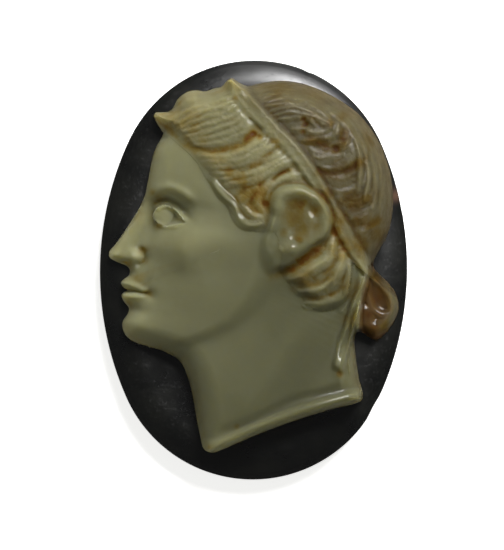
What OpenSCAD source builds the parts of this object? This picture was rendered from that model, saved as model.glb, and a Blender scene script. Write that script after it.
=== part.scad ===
// Oval cameo: a head in profile, raised in the pale layer of a banded stone over a dark oval ground.
// It lies on its flat back with +Z up. The top of the head points to +Y and the face looks to -X.
// The origin is the middle of the back. All lengths are in millimetres.

/* [Ground] */
// Length of the oval ground from top to bottom
ground_length = 30; // [30:0.5:34]
// Width of the oval ground
ground_width = 22; // [22:0.5:25]
// Radius of the round ends of the oval
end_radius = 9.9; // [9:0.1:10.2]
// Thickness of the dark layer under the head
ground_thickness = 2.8; // [2:0.1:4]
// How far the dark layer is cut down round the head
ground_cut = 0.05; // [0.03:0.01:0.2]
// Width of the rounded shoulder along the rim
shoulder_width = 2.2; // [1.5:0.1:2.5]
// How far the shoulder falls from the flat middle to the rim
shoulder_drop = 0.75; // [0.4:0.05:1]
// Bevel round the edge of the back
back_bevel = 0.3; // [0.1:0.05:0.5]

/* [Head] */
// Height of the head from the chin to the crown
head_height = 20; // [16:0.5:20]
// Lean of the face line back from upright, in degrees
head_tilt = 9; // [7:0.5:11]
// Depth of the carving, as a multiple of the pattern
carving_depth = 1; // [0.7:0.05:1.2]
// Height of the skull over the ground at its fullest
skull_rise = 5; // [4.5:0.1:5.4]
// Height of the neck over the ground along its middle
neck_rise = 3.75; // [3.2:0.05:4]

/* [Hair] */
// How far the mass of the hair stands over the skin
hair_rise = 0.26; // [0.1:0.02:0.4]
// Fullness of the locks, as a multiple of the pattern
lock_fullness = 1; // [0.5:0.05:1.5]
// Half the width of the hair band over the forehead
band_half_width = 0.54; // [0.45:0.03:0.69]
// Half the width of the hair band behind the ear
band_back_half_width = 0.46; // [0.35:0.03:0.56]
// How far the hair band stands over the mass of the hair
band_rise = 0.17; // [0.1:0.01:0.25]

/* [Ear and bow] */
// Size of the ear, as a multiple of the pattern
ear_size = 1; // [0.85:0.05:1.05]
// How far the ear stands over the head
ear_rise = 0.36; // [0.2:0.02:0.5]
// How far the ends of the ribbon stand over the neck
ribbon_rise = 0.42; // [0.3:0.02:0.6]

/* [Hidden] */

// Pattern height of the head: every place in the tables below is drawn for it
PATTERN = 20;
relief_scale = head_height / PATTERN;

// Oval of four arcs: two end arcs and two side arcs that meet without a corner
half_length = ground_length / 2;
half_width = ground_width / 2;
end_centre = half_length - end_radius;
side_radius = (half_width * half_width + end_centre * end_centre - end_radius * end_radius)
    / (2 * (half_width - end_radius));
side_centre = side_radius - half_width;
join_angle = atan2(end_centre, side_centre);
shoulder_radius = (shoulder_width * shoulder_width + shoulder_drop * shoulder_drop) / (2 * shoulder_drop);
ground_top = ground_thickness - ground_cut;
girdle_top = ground_top - shoulder_drop;
// Rows of points on the shoulder, as shares of the way from its start to the rim
GROUND_ROWS = [0.9, 0.75, 0.55, 0.3, 0];
// Where the head is near the rim, the rows start this share of the way from the foot to the rim
SHOULDER_START = 0.15;

// Middle of the rays along which the relief is sampled
HUB = [0.82, 2.86];
RAYS = 200;
FIRST_RAY = 138;
RAY_SLACK = 4;
// The rays crowd together round the one that meets the middle of the face, by this many degrees
FACE_RAY = 187;
RAY_CROWDING = 20;
// Sampled rings between the rim and the hub: fine near the rim, then evenly spaced
RIM_RINGS = 6;
RIM_STEP = 0.0022;
RING_STEP = 0.03;
RING_COUNT = 33;
// Shares of the radius inside which a ring has every second, fourth and eighth ray
STRIDE_SHARES = [0.52, 0.26, 0.12];
// Rays to each side in which the rounded edge is looked for, and how far in from the rim it can reach
EDGE_WINDOW = 14;
EDGE_REACH = 7;

// Place on the head, in head heights: u forward of the face line, v above the chin
CHIN = [-9.36, -5.06];
FORWARD = [-cos(head_tilt), sin(head_tilt)];
UPWARD = [sin(head_tilt), cos(head_tilt)];
function place(u, v) = CHIN + PATTERN * (u * FORWARD + v * UPWARD);
function head_u(p) = (p - CHIN) * FORWARD / PATTERN;
function head_v(p) = (p - CHIN) * UPWARD / PATTERN;

// Profile of the face from the hairline to under the chin
// columns: u, v, radius of the rounded edge in mm
PROFILE = [
    [-0.022, 0.745, 1.5],
    [-0.004, 0.690, 1.5],
    [0.002, 0.630, 1.5],
    [0.003, 0.575, 1.4],
    [0.004, 0.530, 1.2],
    [0.012, 0.490, 0.9],
    [0.030, 0.440, 0.8],
    [0.054, 0.385, 0.8],
    [0.080, 0.330, 0.8],
    [0.096, 0.302, 0.7],
    [0.092, 0.281, 0.6],
    [0.066, 0.270, 0.6],
    [0.030, 0.262, 0.6],
    [0.014, 0.250, 0.7],
    [0.014, 0.230, 0.8],
    [0.030, 0.212, 0.7],
    [0.036, 0.198, 0.6],
    [0.026, 0.184, 0.5],
    [0.008, 0.176, 0.5],
    [0.021, 0.167, 0.5],
    [0.027, 0.153, 0.6],
    [0.014, 0.133, 0.8],
    [-0.006, 0.115, 0.9],
    [-0.006, 0.093, 1.0],
    [0.006, 0.068, 1.2],
    [0.004, 0.040, 1.4],
    [-0.014, 0.014, 1.5],
    [-0.048, -0.002, 1.6],
    [-0.100, -0.010, 1.6],
    [-0.160, -0.018, 1.6],
];

// Rest of the outline: neck, cut of the neck, nape, bow, back of the head, band and front hair
// columns: x, y, radius of the rounded edge
OUTLINE = [
    [-5.20, -6.55, 1.8],
    [-4.65, -7.60, 2.0],
    [-4.25, -9.00, 2.0],
    [-3.95, -10.60, 2.0],
    [-3.65, -12.00, 1.6],
    [-3.45, -12.75, 0.8],
    [-3.00, -13.05, 0.6],
    [-2.30, -12.95, 0.6],
    [0.40, -11.75, 0.6],
    [3.00, -10.75, 0.6],
    [5.60, -9.90, 0.6],
    [7.40, -9.45, 0.6],
    [7.85, -9.15, 0.6],
    [7.90, -8.60, 0.8],
    [7.65, -7.80, 1.4],
    [7.45, -6.60, 1.8],
    [7.30, -5.40, 1.8],
    [7.30, -4.65, 1.2],
    [7.60, -4.30, 0.8],
    [8.10, -4.55, 0.7],
    [8.60, -4.85, 0.7],
    [9.10, -4.75, 0.7],
    [9.75, -4.10, 0.8],
    [10.25, -3.20, 0.8],
    [10.40, -2.40, 0.8],
    [10.15, -1.50, 0.8],
    [9.60, -0.75, 0.8],
    [9.00, -0.20, 0.8],
    [8.60, 0.25, 0.8],
    [8.60, 0.80, 1.2],
    [9.00, 1.60, 1.6],
    [9.55, 2.70, 1.9],
    [9.85, 4.00, 2.1],
    [9.90, 5.40, 2.2],
    [9.75, 6.80, 2.2],
    [9.40, 8.00, 2.2],
    [8.90, 9.20, 2.2],
    [8.20, 10.30, 2.2],
    [7.30, 11.30, 2.2],
    [6.20, 12.10, 2.2],
    [4.90, 12.80, 2.1],
    [3.40, 13.35, 2.1],
    [1.90, 13.55, 2.0],
    [0.50, 13.40, 1.9],
    [-0.45, 13.12, 0.8],
    [-1.10, 13.30, 0.4],
    [-1.70, 13.64, 0.35],
    [-2.10, 13.44, 0.35],
    [-2.45, 13.06, 0.8],
    [-2.95, 12.95, 1.6],
    [-3.60, 12.72, 1.7],
    [-4.40, 12.78, 1.8],
    [-5.10, 12.55, 1.8],
    [-5.60, 12.10, 1.7],
    [-5.85, 11.60, 1.4],
    [-6.20, 11.25, 1.0],
    [-6.75, 11.20, 0.7],
    [-7.15, 11.15, 0.6],
    [-7.25, 10.85, 0.6],
    [-7.00, 10.35, 0.9],
    [-6.68, 9.85, 1.3],
];

// Heights of the face over the ground in mm, a row for each level of the head
// Columns of each row: how far behind the face line its heights lie, in head heights
FACE_DEPTHS = [-0.10, -0.05, 0, 0.04, 0.08, 0.13, 0.20, 0.30, 0.42];
// columns: v, heights
FACE_LEVELS = [
    [-0.06, [0.60, 0.70, 0.90, 1.15, 1.45, 1.80, 2.30, 2.80, 3.30]],
    [0.00, [0.60, 0.70, 0.90, 1.20, 1.60, 2.00, 2.50, 3.00, 3.50]],
    [0.06, [0.60, 0.70, 1.00, 1.45, 1.85, 2.30, 2.85, 3.40, 3.80]],
    [0.12, [0.60, 0.70, 0.85, 1.30, 1.80, 2.35, 3.00, 3.60, 4.00]],
    [0.17, [0.60, 0.70, 0.85, 1.25, 1.75, 2.40, 3.15, 3.80, 4.10]],
    [0.21, [0.60, 0.70, 0.90, 1.30, 1.85, 2.55, 3.30, 3.95, 4.20]],
    [0.26, [0.60, 0.75, 0.95, 1.30, 1.95, 2.75, 3.50, 4.10, 4.30]],
    [0.30, [0.65, 0.80, 1.00, 1.25, 2.05, 2.95, 3.75, 4.20, 4.40]],
    [0.35, [0.65, 0.75, 0.95, 1.40, 2.30, 3.20, 3.95, 4.35, 4.50]],
    [0.41, [0.60, 0.70, 0.85, 1.25, 2.10, 3.15, 3.95, 4.40, 4.55]],
    [0.46, [0.60, 0.70, 0.80, 0.95, 1.65, 2.75, 3.70, 4.30, 4.60]],
    [0.50, [0.60, 0.80, 1.00, 1.25, 1.80, 2.75, 3.65, 4.25, 4.65]],
    [0.54, [0.80, 1.20, 1.70, 2.20, 2.80, 3.40, 3.90, 4.35, 4.70]],
    [0.60, [1.00, 1.40, 1.90, 2.60, 3.15, 3.65, 4.10, 4.50, 4.80]],
    [0.70, [1.00, 1.40, 1.90, 2.65, 3.20, 3.75, 4.20, 4.60, 4.90]],
    [0.85, [1.00, 1.40, 1.90, 2.50, 3.00, 3.50, 4.00, 4.40, 4.80]],
];
// Where the face passes into the skull, and over what stretch, in head heights
SKULL_START = 0.28;
SKULL_BLEND = 0.16;
// Skull: its middle and half sizes in head heights, and its fall at that distance in mm
SKULL_MIDDLE = [-0.47, 0.60];
SKULL_HALF = [0.60, 0.55];
SKULL_FALL = 1.3;

// Underside of the jaw from the chin to the ear, in head heights
JAW = [
    [0.05, -0.030], [-0.06, -0.016], [-0.16, 0.004], [-0.27, 0.055],
    [-0.365, 0.130], [-0.42, 0.22], [-0.445, 0.32], [-0.46, 0.44],
];
// Middle of the neck from behind the ear to its cut
NECK = [[5.5, 2.1], [3.6, -2.1], [2.6, -6.4], [2.2, -12.1]];
// Neck: its fall at its half width, and its fall toward the cut, which starts at a level and grows
NECK_HALF_WIDTH = 6;
NECK_FALL = 0.85;
NECK_LOW_FALL = 0.25;
NECK_LOW_START = -6;
NECK_LOW_SPAN = 7;
// Soft join of the head and the neck
NECK_BLEND = 0.5;
// Step under the jaw: depth at the chin and how much less it is at the ear, where along the jaw it
// changes, the distance at which it starts and its width at the chin with their growth along the jaw
JAW_STEP = 1.5;
JAW_STEP_LOSS = 0.7;
JAW_STEP_CHANGE = 0.35;
JAW_STEP_SPAN = 0.5;
JAW_START = 0.25;
JAW_START_GROWTH = 0.5;
JAW_WIDTH = 1.5;
JAW_WIDTH_GROWTH = 1.2;
JAW_END = 0.3;
// Line round the hair from the forehead over the ear and under the nape curls
HAIRLINE = [
    [-7.4, 10.1], [-6.8, 9.8], [-6.1, 9.4], [-5.4, 8.8], [-4.7, 8.2], [-4.0, 7.4], [-3.4, 6.4],
    [-2.6, 5.4], [-1.8, 4.4], [-1.1, 3.4], [-0.4, 2.8], [0.6, 2.7], [1.5, 2.6], [2.0, 1.0],
    [1.9, 0.1], [2.2, -0.6], [3.0, -1.4], [3.8, -2.3], [4.6, -2.8], [5.8, -2.6], [6.6, -2.0],
];
// Middle of the hair band from the top of the forehead to the knot at the nape
BAND = [
    [-1.8, 13.4], [-0.9, 12.2], [0.2, 11.0], [1.5, 9.7], [2.7, 8.5],
    [3.9, 6.9], [5.0, 5.1], [6.2, 3.1], [7.2, 1.4], [8.2, 0.1],
];
// Loop of the ribbon bow under the knot
BOW = [
    [8.2, 0.2], [8.9, -0.3], [9.6, -0.8], [10.1, -1.5], [10.4, -2.4], [10.3, -3.2],
    [9.8, -4.1], [9.1, -4.8], [8.4, -4.9], [7.8, -4.5], [7.6, -3.2], [7.8, -1.5], [8.2, 0.2],
];
// Height of the floor of the loop, and the place behind which the loop stands free of the neck
BOW_FLOOR = 1.25;
BOW_FREE = 8.3;
// Widths over which the loop passes into what lies beside it, and how far out that starts as a
// multiple of the width: where it stands free, then on the neck
BOW_FREE_SLOPE = 0.1;
BOW_FREE_LEAD = 5;
BOW_SLOPE = 0.5;
BOW_LEAD = 0.5;
// Raised folds of the loop: its outer rim, its inner fold and its lower lobe
// columns: half width, height, points
BOW_FOLDS = [
    [0.50, 0.55, [[8.3, -0.1], [9.2, -0.6], [9.9, -1.4], [10.2, -2.4], [10.0, -3.2], [9.4, -3.9]]],
    [0.30, 0.40, [[8.1, -0.7], [8.1, -1.8], [8.5, -2.7], [9.1, -3.1], [9.7, -3.1]]],
    [0.75, 0.48, [[7.9, -3.0], [8.1, -3.8], [8.7, -4.2], [9.4, -3.9]]],
];
// Shape across a fold: how full its crest is and how much narrower the dip on it
FOLD_CREST = 1.6;
FOLD_SHARPNESS = 1.7;
// Hanging ends of the ribbon
// columns: half width at the knot, half width lower down, points
RIBBON_ENDS = [
    [0.30, 0.58, [[8.0, -0.4], [7.5, -1.6], [7.1, -2.9], [6.8, -4.2], [6.5, -5.4], [6.2, -6.5],
        [6.0, -7.2]]],
    [0.26, 0.34, [[8.1, -0.6], [7.8, -1.8], [7.5, -3.0], [7.2, -4.2], [7.0, -5.6], [7.1, -6.8],
        [7.2, -7.6]]],
];
// Shares of their length over which the ribbon ends widen, rise and run out, the share of their
// half width that slopes down, and the height over the ground at which they start to lie on the neck
RIBBON_WIDENING = 0.7;
RIBBON_START = 0.12;
RIBBON_STOP = 0.08;
RIBBON_SLOPE = 0.6;
RIBBON_SEAT = 1.2;
RIBBON_SEAT_SPAN = 0.6;
// Knot: middle, half sizes and height
KNOT = [8.1, 0.1];
KNOT_HALF = [0.55, 0.68];
KNOT_RISE = 3.1;

// Curved strokes act out to this many of their half widths
STROKE_REACH = 2.5;
// Share of its height that a stroke has at its ends
STROKE_END = 0.15;

// Lines cut or raised on the face, in head heights
// columns: half width in mm, height in mm, share that fades in, share that fades out, points
FACE_LINES = [
    // upper eyelid, lower eyelid, fold over the eyelid, brow
    [0.20, 0.32, 0.12, 0.25, [[-0.040, 0.472], [-0.055, 0.491], [-0.080, 0.498],
        [-0.108, 0.487], [-0.134, 0.467], [-0.156, 0.448]]],
    [0.17, 0.20, 0.12, 0.25, [[-0.044, 0.438], [-0.064, 0.427], [-0.090, 0.425],
        [-0.118, 0.433], [-0.140, 0.442], [-0.154, 0.448]]],
    [0.20, -0.24, 0.25, 0.30, [[-0.030, 0.490], [-0.054, 0.513], [-0.086, 0.520],
        [-0.118, 0.508], [-0.150, 0.484], [-0.178, 0.458]]],
    [0.36, 0.25, 0.30, 0.40, [[-0.012, 0.530], [-0.045, 0.552], [-0.090, 0.562],
        [-0.140, 0.546], [-0.185, 0.512]]],
    // groove round the wing of the nose
    [0.20, -0.28, 0.30, 0.20, [[0.004, 0.334], [-0.022, 0.323], [-0.032, 0.300],
        [-0.022, 0.278], [-0.002, 0.268]]],
    // upper lip, lower lip, line of the mouth
    [0.26, 0.34, 0.05, 0.50, [[0.050, 0.205], [0.018, 0.203], [-0.015, 0.195],
        [-0.045, 0.186], [-0.066, 0.180]]],
    [0.30, 0.36, 0.05, 0.50, [[0.045, 0.150], [0.015, 0.153], [-0.015, 0.158],
        [-0.042, 0.166], [-0.060, 0.173]]],
    [0.12, -0.30, 0.02, 0.20, [[0.030, 0.176], [0.006, 0.176], [-0.020, 0.178],
        [-0.048, 0.176], [-0.072, 0.179]]],
];
// Round swellings and hollows of the face, in head heights
// columns: u, v, half width, half height, height in mm
FACE_BUMPS = [
    [-0.086, 0.462, 0.048, 0.034, 0.75],
    [0.012, 0.300, 0.030, 0.024, 0.42],
    [0.036, 0.274, 0.018, 0.007, -0.35],
    [0.075, 0.297, 0.026, 0.020, 0.22],
    [-0.074, 0.177, 0.018, 0.016, -0.22],
    [-0.022, 0.112, 0.045, 0.018, -0.22],
    [-0.035, 0.055, 0.050, 0.045, 0.25],
    [-0.165, 0.355, 0.060, 0.062, 0.34],
    [-0.280, 0.400, 0.110, 0.050, 0.12],
];
// Lines of the neck: the muscle from behind the ear, the hollow behind it, the raised rim at the
// cut and the groove along that rim
// columns: half width, height, share that fades in, share that fades out, points
NECK_LINES = [
    [1.00, 0.26, 0.30, 0.30, [[4.9, -2.1], [3.0, -4.9], [0.6, -8.3], [-1.7, -11.4]]],
    [0.90, -0.12, 0.30, 0.30, [[7.0, -2.9], [5.5, -5.7], [3.3, -8.7], [1.2, -10.7]]],
    [0.45, 0.38, 0.02, 0.02, [[-3.5, -12.6], [-2.2, -12.4], [0.3, -11.3], [3.3, -10.1],
        [6.2, -9.2], [8.3, -8.7]]],
    [0.35, -0.16, 0.10, 0.10, [[-2.8, -11.6], [-1.0, -11.1], [1.0, -10.2], [3.3, -9.1],
        [6.2, -8.4], [8.0, -7.9]]],
];

// Locks of hair, in groups that pass evenly from a first lock to a last one, each lock from its
// root to its other end
// columns: points of the first lock, points of the last lock, number of locks, half width, height
LOCKS = [
    // full roll over the forehead
    [[[-7.0, 10.9], [-6.0, 11.7], [-5.0, 12.4], [-3.6, 12.5], [-2.1, 12.7]],
        [[-4.6, 8.8], [-3.2, 8.9], [-1.8, 9.2], [-0.7, 9.8], [0.1, 10.9]], 6, 0.50, 0.22],
    // waves at the temple
    [[[-3.9, 8.1], [-2.1, 8.0], [-0.6, 8.5], [0.4, 9.3], [1.0, 10.5]],
        [[-2.2, 5.9], [-0.4, 6.3], [1.1, 7.0], [2.3, 7.6], [3.3, 8.0]], 4, 0.52, 0.24],
    // rope along the hairline, then the curls between it and the ear
    [[[-3.0, 6.4], [-2.3, 5.4], [-1.6, 4.6], [-1.2, 3.7], [-0.5, 3.2], [0.5, 3.3]],
        [[-3.0, 6.4], [-2.3, 5.4], [-1.6, 4.6], [-1.2, 3.7], [-0.5, 3.2], [0.5, 3.3]], 1, 0.42, 0.30],
    [[[0.4, 3.6], [-0.4, 4.1], [-0.8, 4.9], [0.0, 5.7], [1.4, 6.2]],
        [[1.0, 4.7], [1.0, 5.6], [1.6, 6.2], [2.8, 6.7], [4.0, 6.9]], 3, 0.42, 0.18],
    // top of the crown
    [[[-0.4, 12.8], [1.5, 13.2], [3.7, 13.0], [5.6, 12.2], [7.0, 11.1]],
        [[1.3, 10.5], [2.3, 10.8], [3.2, 10.8], [3.9, 10.6], [4.3, 10.2]], 4, 0.44, 0.20],
    // small whirl, then nested curls of the crown, each from the back of the head round to the band
    [[[5.0, 10.9], [5.3, 10.3], [5.0, 9.9], [4.0, 9.8], [2.6, 9.9]],
        [[5.6, 11.2], [5.8, 10.1], [5.4, 9.5], [4.2, 9.2], [2.9, 9.3]], 2, 0.38, 0.20],
    [[[6.5, 11.3], [6.8, 10.0], [6.4, 8.8], [5.3, 8.1], [4.2, 8.1], [3.3, 8.8]],
        [[8.6, 9.6], [9.0, 7.6], [8.6, 5.9], [7.4, 4.9], [6.0, 5.0], [4.9, 6.0]], 5, 0.46, 0.22],
    [[[9.2, 8.6], [9.5, 6.6], [9.1, 4.9], [8.0, 3.9], [6.8, 3.8], [5.6, 4.9]],
        [[9.7, 3.6], [9.4, 2.3], [8.9, 1.3], [8.3, 0.9], [7.7, 1.0], [7.3, 1.7]], 4, 0.48, 0.20],
    // curls at the nape
    [[[5.6, 2.2], [5.3, 1.1], [4.6, 0.4], [3.7, -0.2], [2.7, -0.5]],
        [[6.9, 0.8], [6.9, -0.8], [6.1, -1.9], [4.9, -2.4], [3.8, -2.4]], 3, 0.54, 0.30],
];
// Full forms that carry the locks
// columns: x, y, half width, half height, lean in degrees, height
ROLLS = [
    [-2.9, 11.1, 2.7, 1.8, 12, 0.34],
    [-1.0, 8.2, 2.4, 0.8, 22, 0.16],
    [0.7, 7.0, 2.2, 0.7, 26, 0.16],
    [4.6, 10.2, 1.4, 1.2, 0, 0.08],
    [5.8, 7.9, 2.4, 0.9, 12, 0.08],
    [7.3, 5.8, 2.2, 0.9, 14, 0.08],
    [8.3, 3.4, 1.6, 0.9, 20, 0.07],
    [4.9, -0.6, 1.9, 1.4, 30, 0.20],
];
// How squarely a full form ends: 1 is softest
ROLL_POWER = 1.5;
// Lock: share of its width and height at its root and at its other end, and the stretches over
// which they grow, as shares of its length
LOCK_ROOT_WIDTH = 0.7;
LOCK_ROOT_SPAN = 0.3;
LOCK_END_WIDTH = 0.75;
LOCK_END_SPAN = 0.25;
LOCK_ROOT_HEIGHT = 0.3;
LOCK_RISE_SPAN = 0.12;
LOCK_END_HEIGHT = 0.75;
LOCK_FALL_SPAN = 0.2;
// Mass of the hair: the width of its rise at the hairline, how far it sinks between the locks, and
// the groove along the skin side of the hairline
HAIR_SPREAD = 1.1;
LOCK_SINK = 0.10;
HAIRLINE_GROOVE = 0.04;
HAIRLINE_WIDTH = 0.4;

// Band: where it narrows, the width over which its sides fall and how far they reach past it
BAND_NARROW_START = 0.1;
BAND_NARROW_SPAN = 0.3;
BAND_SLOPE = 0.34;
BAND_OVERLAP = 0.16;
// Raised edges of the band, and the groove it presses into the hair on both sides
BAND_EDGE = 0.04;
BAND_EDGE_PLACE = 0.7;
BAND_EDGE_WIDTH = 0.16;
BAND_PRESS = 0.07;
BAND_PRESS_OFFSET = 0.16;
BAND_PRESS_WIDTH = 0.22;

// Edge of the ear, and its middle
EAR_EDGE = [
    [1.1, 3.9], [1.0, 4.9], [1.4, 5.7], [2.2, 6.1], [3.3, 6.1], [4.4, 5.6], [5.2, 4.8], [5.6, 3.7],
    [5.5, 2.8], [5.1, 2.2], [4.3, 1.6], [3.4, 0.8], [2.6, 0.2], [1.8, -0.2], [1.1, -0.3],
    [0.6, 0.3], [0.4, 1.2], [0.5, 2.1], [0.8, 2.9], [1.1, 3.9],
];
EAR_MIDDLE = [3.0, 3.0];
// Width over which the edge of the ear rises, how much wider it is at the lobe, and where that is:
// below one height and before one place, each with the stretch over which it passes
EAR_SLOPE = 0.55;
LOBE_SLOPE = 1.2;
LOBE_TOP = 2.5;
LOBE_TOP_SPAN = 2;
LOBE_BACK = 2.6;
LOBE_BACK_SPAN = 1.5;
// Highest that the hair under the ear stands over the skin, and the groove round the ear
EAR_SEAT = 0.15;
EAR_GROOVE = 0.05;
EAR_GROOVE_WIDTH = 0.35;
EAR_REACH = 1;
// Shares of that width by which the rise of the ear, and its passing into the hair, reach outwards
EDGE_LEAD = 0.2;
EDGE_SOFTNESS = 0.6;
// Lines of the ear: outer rim, inner rim
// columns: half width, height, points
EAR_LINES = [
    [0.50, 0.30, [[1.6, 4.4], [1.8, 5.1], [2.4, 5.5], [3.3, 5.6], [4.3, 5.1], [4.9, 4.3],
        [5.1, 3.5], [4.8, 2.7], [4.0, 2.1], [3.1, 1.6], [2.2, 1.5]]],
    [0.36, 0.09, [[3.6, 4.3], [4.0, 3.5], [3.8, 2.8], [3.4, 2.4]]],
];
// Hollows and swellings of the ear: shell, upper hollow, its reach to the rim, flap in front, lobe
// columns: x, y, half width, half height, height
EAR_BUMPS = [
    [2.9, 3.3, 0.85, 1.15, -0.20],
    [3.3, 4.5, 0.90, 0.55, -0.14],
    [4.2, 4.2, 0.50, 0.45, -0.14],
    [1.3, 3.1, 0.30, 0.55, 0.16],
    [1.7, 0.9, 0.75, 0.85, 0.14],
];

// Curves through points
function spline(t, a, b, c, d) =
    0.5 * (2 * b + (c - a) * t + (2 * a - 5 * b + 4 * c - d) * t * t + (3 * b - a - 3 * c + d) * t * t * t);
function curve(points, steps) =
    let (n = len(points), before = 2 * points[0] - points[1], after = 2 * points[n - 1] - points[n - 2],
        p = concat([before], points, [after]))
    concat([for (i = [1 : n - 1], k = [0 : steps - 1]) spline(k / steps, p[i - 1], p[i], p[i + 1], p[i + 2])],
        [points[n - 1]]);
function ring(points, steps) =
    let (n = len(points))
    [for (i = [0 : n - 1], k = [0 : steps - 1])
        spline(k / steps, points[(i + n - 1) % n], points[i], points[(i + 1) % n], points[(i + 2) % n])];

// Shapes of one variable
function clamp(x) = max(0, min(1, x));
function ease(x) = let (c = clamp(x)) c * c * (3 - 2 * c);
function dome(q) = sqrt(max(0, 1 - q * q));
function bell(a, b) = exp(-a * a - b * b);
function grow(from, share, span) = from + (1 - from) * ease(share / span);
function blend_max(a, b, k) = 0.5 * (a + b + sqrt((a - b) * (a - b) + k * k));
function column(rows, k) = [for (row = rows) row[k]];
// Box round a curve, widened by a reach: low corner and high corner
function reach_box(line, reach) = [
    [min(column(line, 0)) - reach, min(column(line, 1)) - reach],
    [max(column(line, 0)) + reach, max(column(line, 1)) + reach]];
function in_box(p, box) = p[0] > box[0][0] && p[0] < box[1][0] && p[1] > box[0][1] && p[1] < box[1][1];

// Nearest place of a curve to a point: distance, above 0 to the left of the curve, and share of its length
function along(line, p) =
    let (hits = [for (k = [0 : len(line) - 2])
            let (a = line[k], ab = line[k + 1] - a, ap = p - a,
                t = clamp(ap * ab / (ab * ab)), c = ap - t * ab)
            [c * c, ab[0] * c[1] - ab[1] * c[0], k + t]],
        least = min(column(hits, 0)),
        hit = hits[search(least, hits, 1, 0)[0]])
    [sign(hit[1]) * sqrt(least), hit[2] / (len(line) - 1)];

// Every curve once, with the box in which it acts
function line_of(points, steps, reach) = let (line = curve(points, steps)) [line, reach_box(line, reach)];
jaw_line = curve([for (q = JAW) place(q[0], q[1])], 4);
neck_line = curve(NECK, 4);
hair_line = curve(HAIRLINE, 2);
band_line = line_of(BAND, 4, 1.2);
bow_line = line_of(BOW, 4, 0.6);
bow_folds = [for (row = BOW_FOLDS) [row[0], row[1], curve(row[2], 4)]];
ribbon_lines = [for (row = RIBBON_ENDS) [row[0], row[1], line_of(row[2], 4, row[1])]];
face_lines = [for (row = FACE_LINES)
    let (points = [for (q = row[4]) place(q[0], q[1])])
    [row[0], row[1], row[2], row[3], line_of(points, 3, STROKE_REACH * row[0])]];
neck_lines = [for (row = NECK_LINES)
    [row[0], row[1], row[2], row[3], line_of(row[4], 4, STROKE_REACH * row[0])]];
lock_lines = [for (row = LOCKS, k = [0 : row[2] - 1])
    let (share = k / max(row[2] - 1, 1))
    [row[3], row[4], line_of(row[0] + share * (row[1] - row[0]), 5, row[3])]];
ear_line = line_of(EAR_EDGE, 4, EAR_REACH);
ear_lines = [for (row = EAR_LINES) [row[0], row[1], curve(row[2], 3)]];

// Height between the rows of a table: slopes follow the neighbours, as a drawn curve does
function slope(xs, ys, i) =
    let (a = max(0, i - 1), b = min(len(xs) - 1, i + 1)) (ys[b] - ys[a]) / (xs[b] - xs[a]);
function span_of(xs, x, i = 0) = i >= len(xs) - 2 || x < xs[i + 1] ? i : span_of(xs, x, i + 1);
function drawn(xs, ys, x) =
    let (i = span_of(xs, x), h = xs[i + 1] - xs[i], t = clamp((x - xs[i]) / h))
    (2 * t * t * t - 3 * t * t + 1) * ys[i] + (t * t * t - 2 * t * t + t) * h * slope(xs, ys, i)
    + (3 * t * t - 2 * t * t * t) * ys[i + 1] + (t * t * t - t * t) * h * slope(xs, ys, i + 1);
level_heights = column(FACE_LEVELS, 0);
function face_height(u, v) =
    let (i = span_of(level_heights, v), a = max(0, i - 1), b = min(len(FACE_LEVELS) - 1, i + 2))
    drawn([for (k = [a : b]) level_heights[k]],
        [for (k = [a : b]) drawn(FACE_DEPTHS, FACE_LEVELS[k][1], -u)], v);

// Skin: face, skull and neck in one smooth form
function skull_height(u, v) =
    let (a = (u - SKULL_MIDDLE[0]) / SKULL_HALF[0], b = (v - SKULL_MIDDLE[1]) / SKULL_HALF[1])
    skull_rise - SKULL_FALL * (a * a + b * b);
function neck_height(p) =
    neck_rise - NECK_FALL * pow(along(neck_line, p)[0] / NECK_HALF_WIDTH, 2)
        - NECK_LOW_FALL * ease((NECK_LOW_START - p[1]) / NECK_LOW_SPAN);
function under_jaw(p) =
    let (j = along(jaw_line, p), s = j[1],
        depth = JAW_STEP - JAW_STEP_LOSS * ease((s - JAW_STEP_CHANGE) / JAW_STEP_SPAN))
    depth * ease((JAW_START + JAW_START_GROWTH * s - j[0]) / (JAW_WIDTH + JAW_WIDTH_GROWTH * s))
        * ease((1 - s) / JAW_END);
function strokes(lines, p) =
    let (parts = [for (row = lines) if (in_box(p, row[4][1]))
        let (n = along(row[4][0], p))
        row[1] * bell(n[0] / row[0], 0) * ease(n[1] / row[2] + STROKE_END)
            * ease((1 - n[1]) / row[3] + STROKE_END)])
    len(parts) == 0 ? 0 : parts * [for (k = parts) 1];
function swellings(rows, a, b) =
    [for (row = rows) row[4] * bell((a - row[0]) / row[2], (b - row[1]) / row[3])] * [for (row = rows) 1];
function skin(p) =
    let (u = head_u(p), v = head_v(p), share = ease((-u - SKULL_START) / SKULL_BLEND),
        head = share * skull_height(u, v) + (share < 1 ? (1 - share) * face_height(u, v) : 0),
        bare = blend_max(head - under_jaw(p), neck_height(p), NECK_BLEND))
    bare + strokes(face_lines, p) + strokes(neck_lines, p) + swellings(FACE_BUMPS, u, v);

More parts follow.
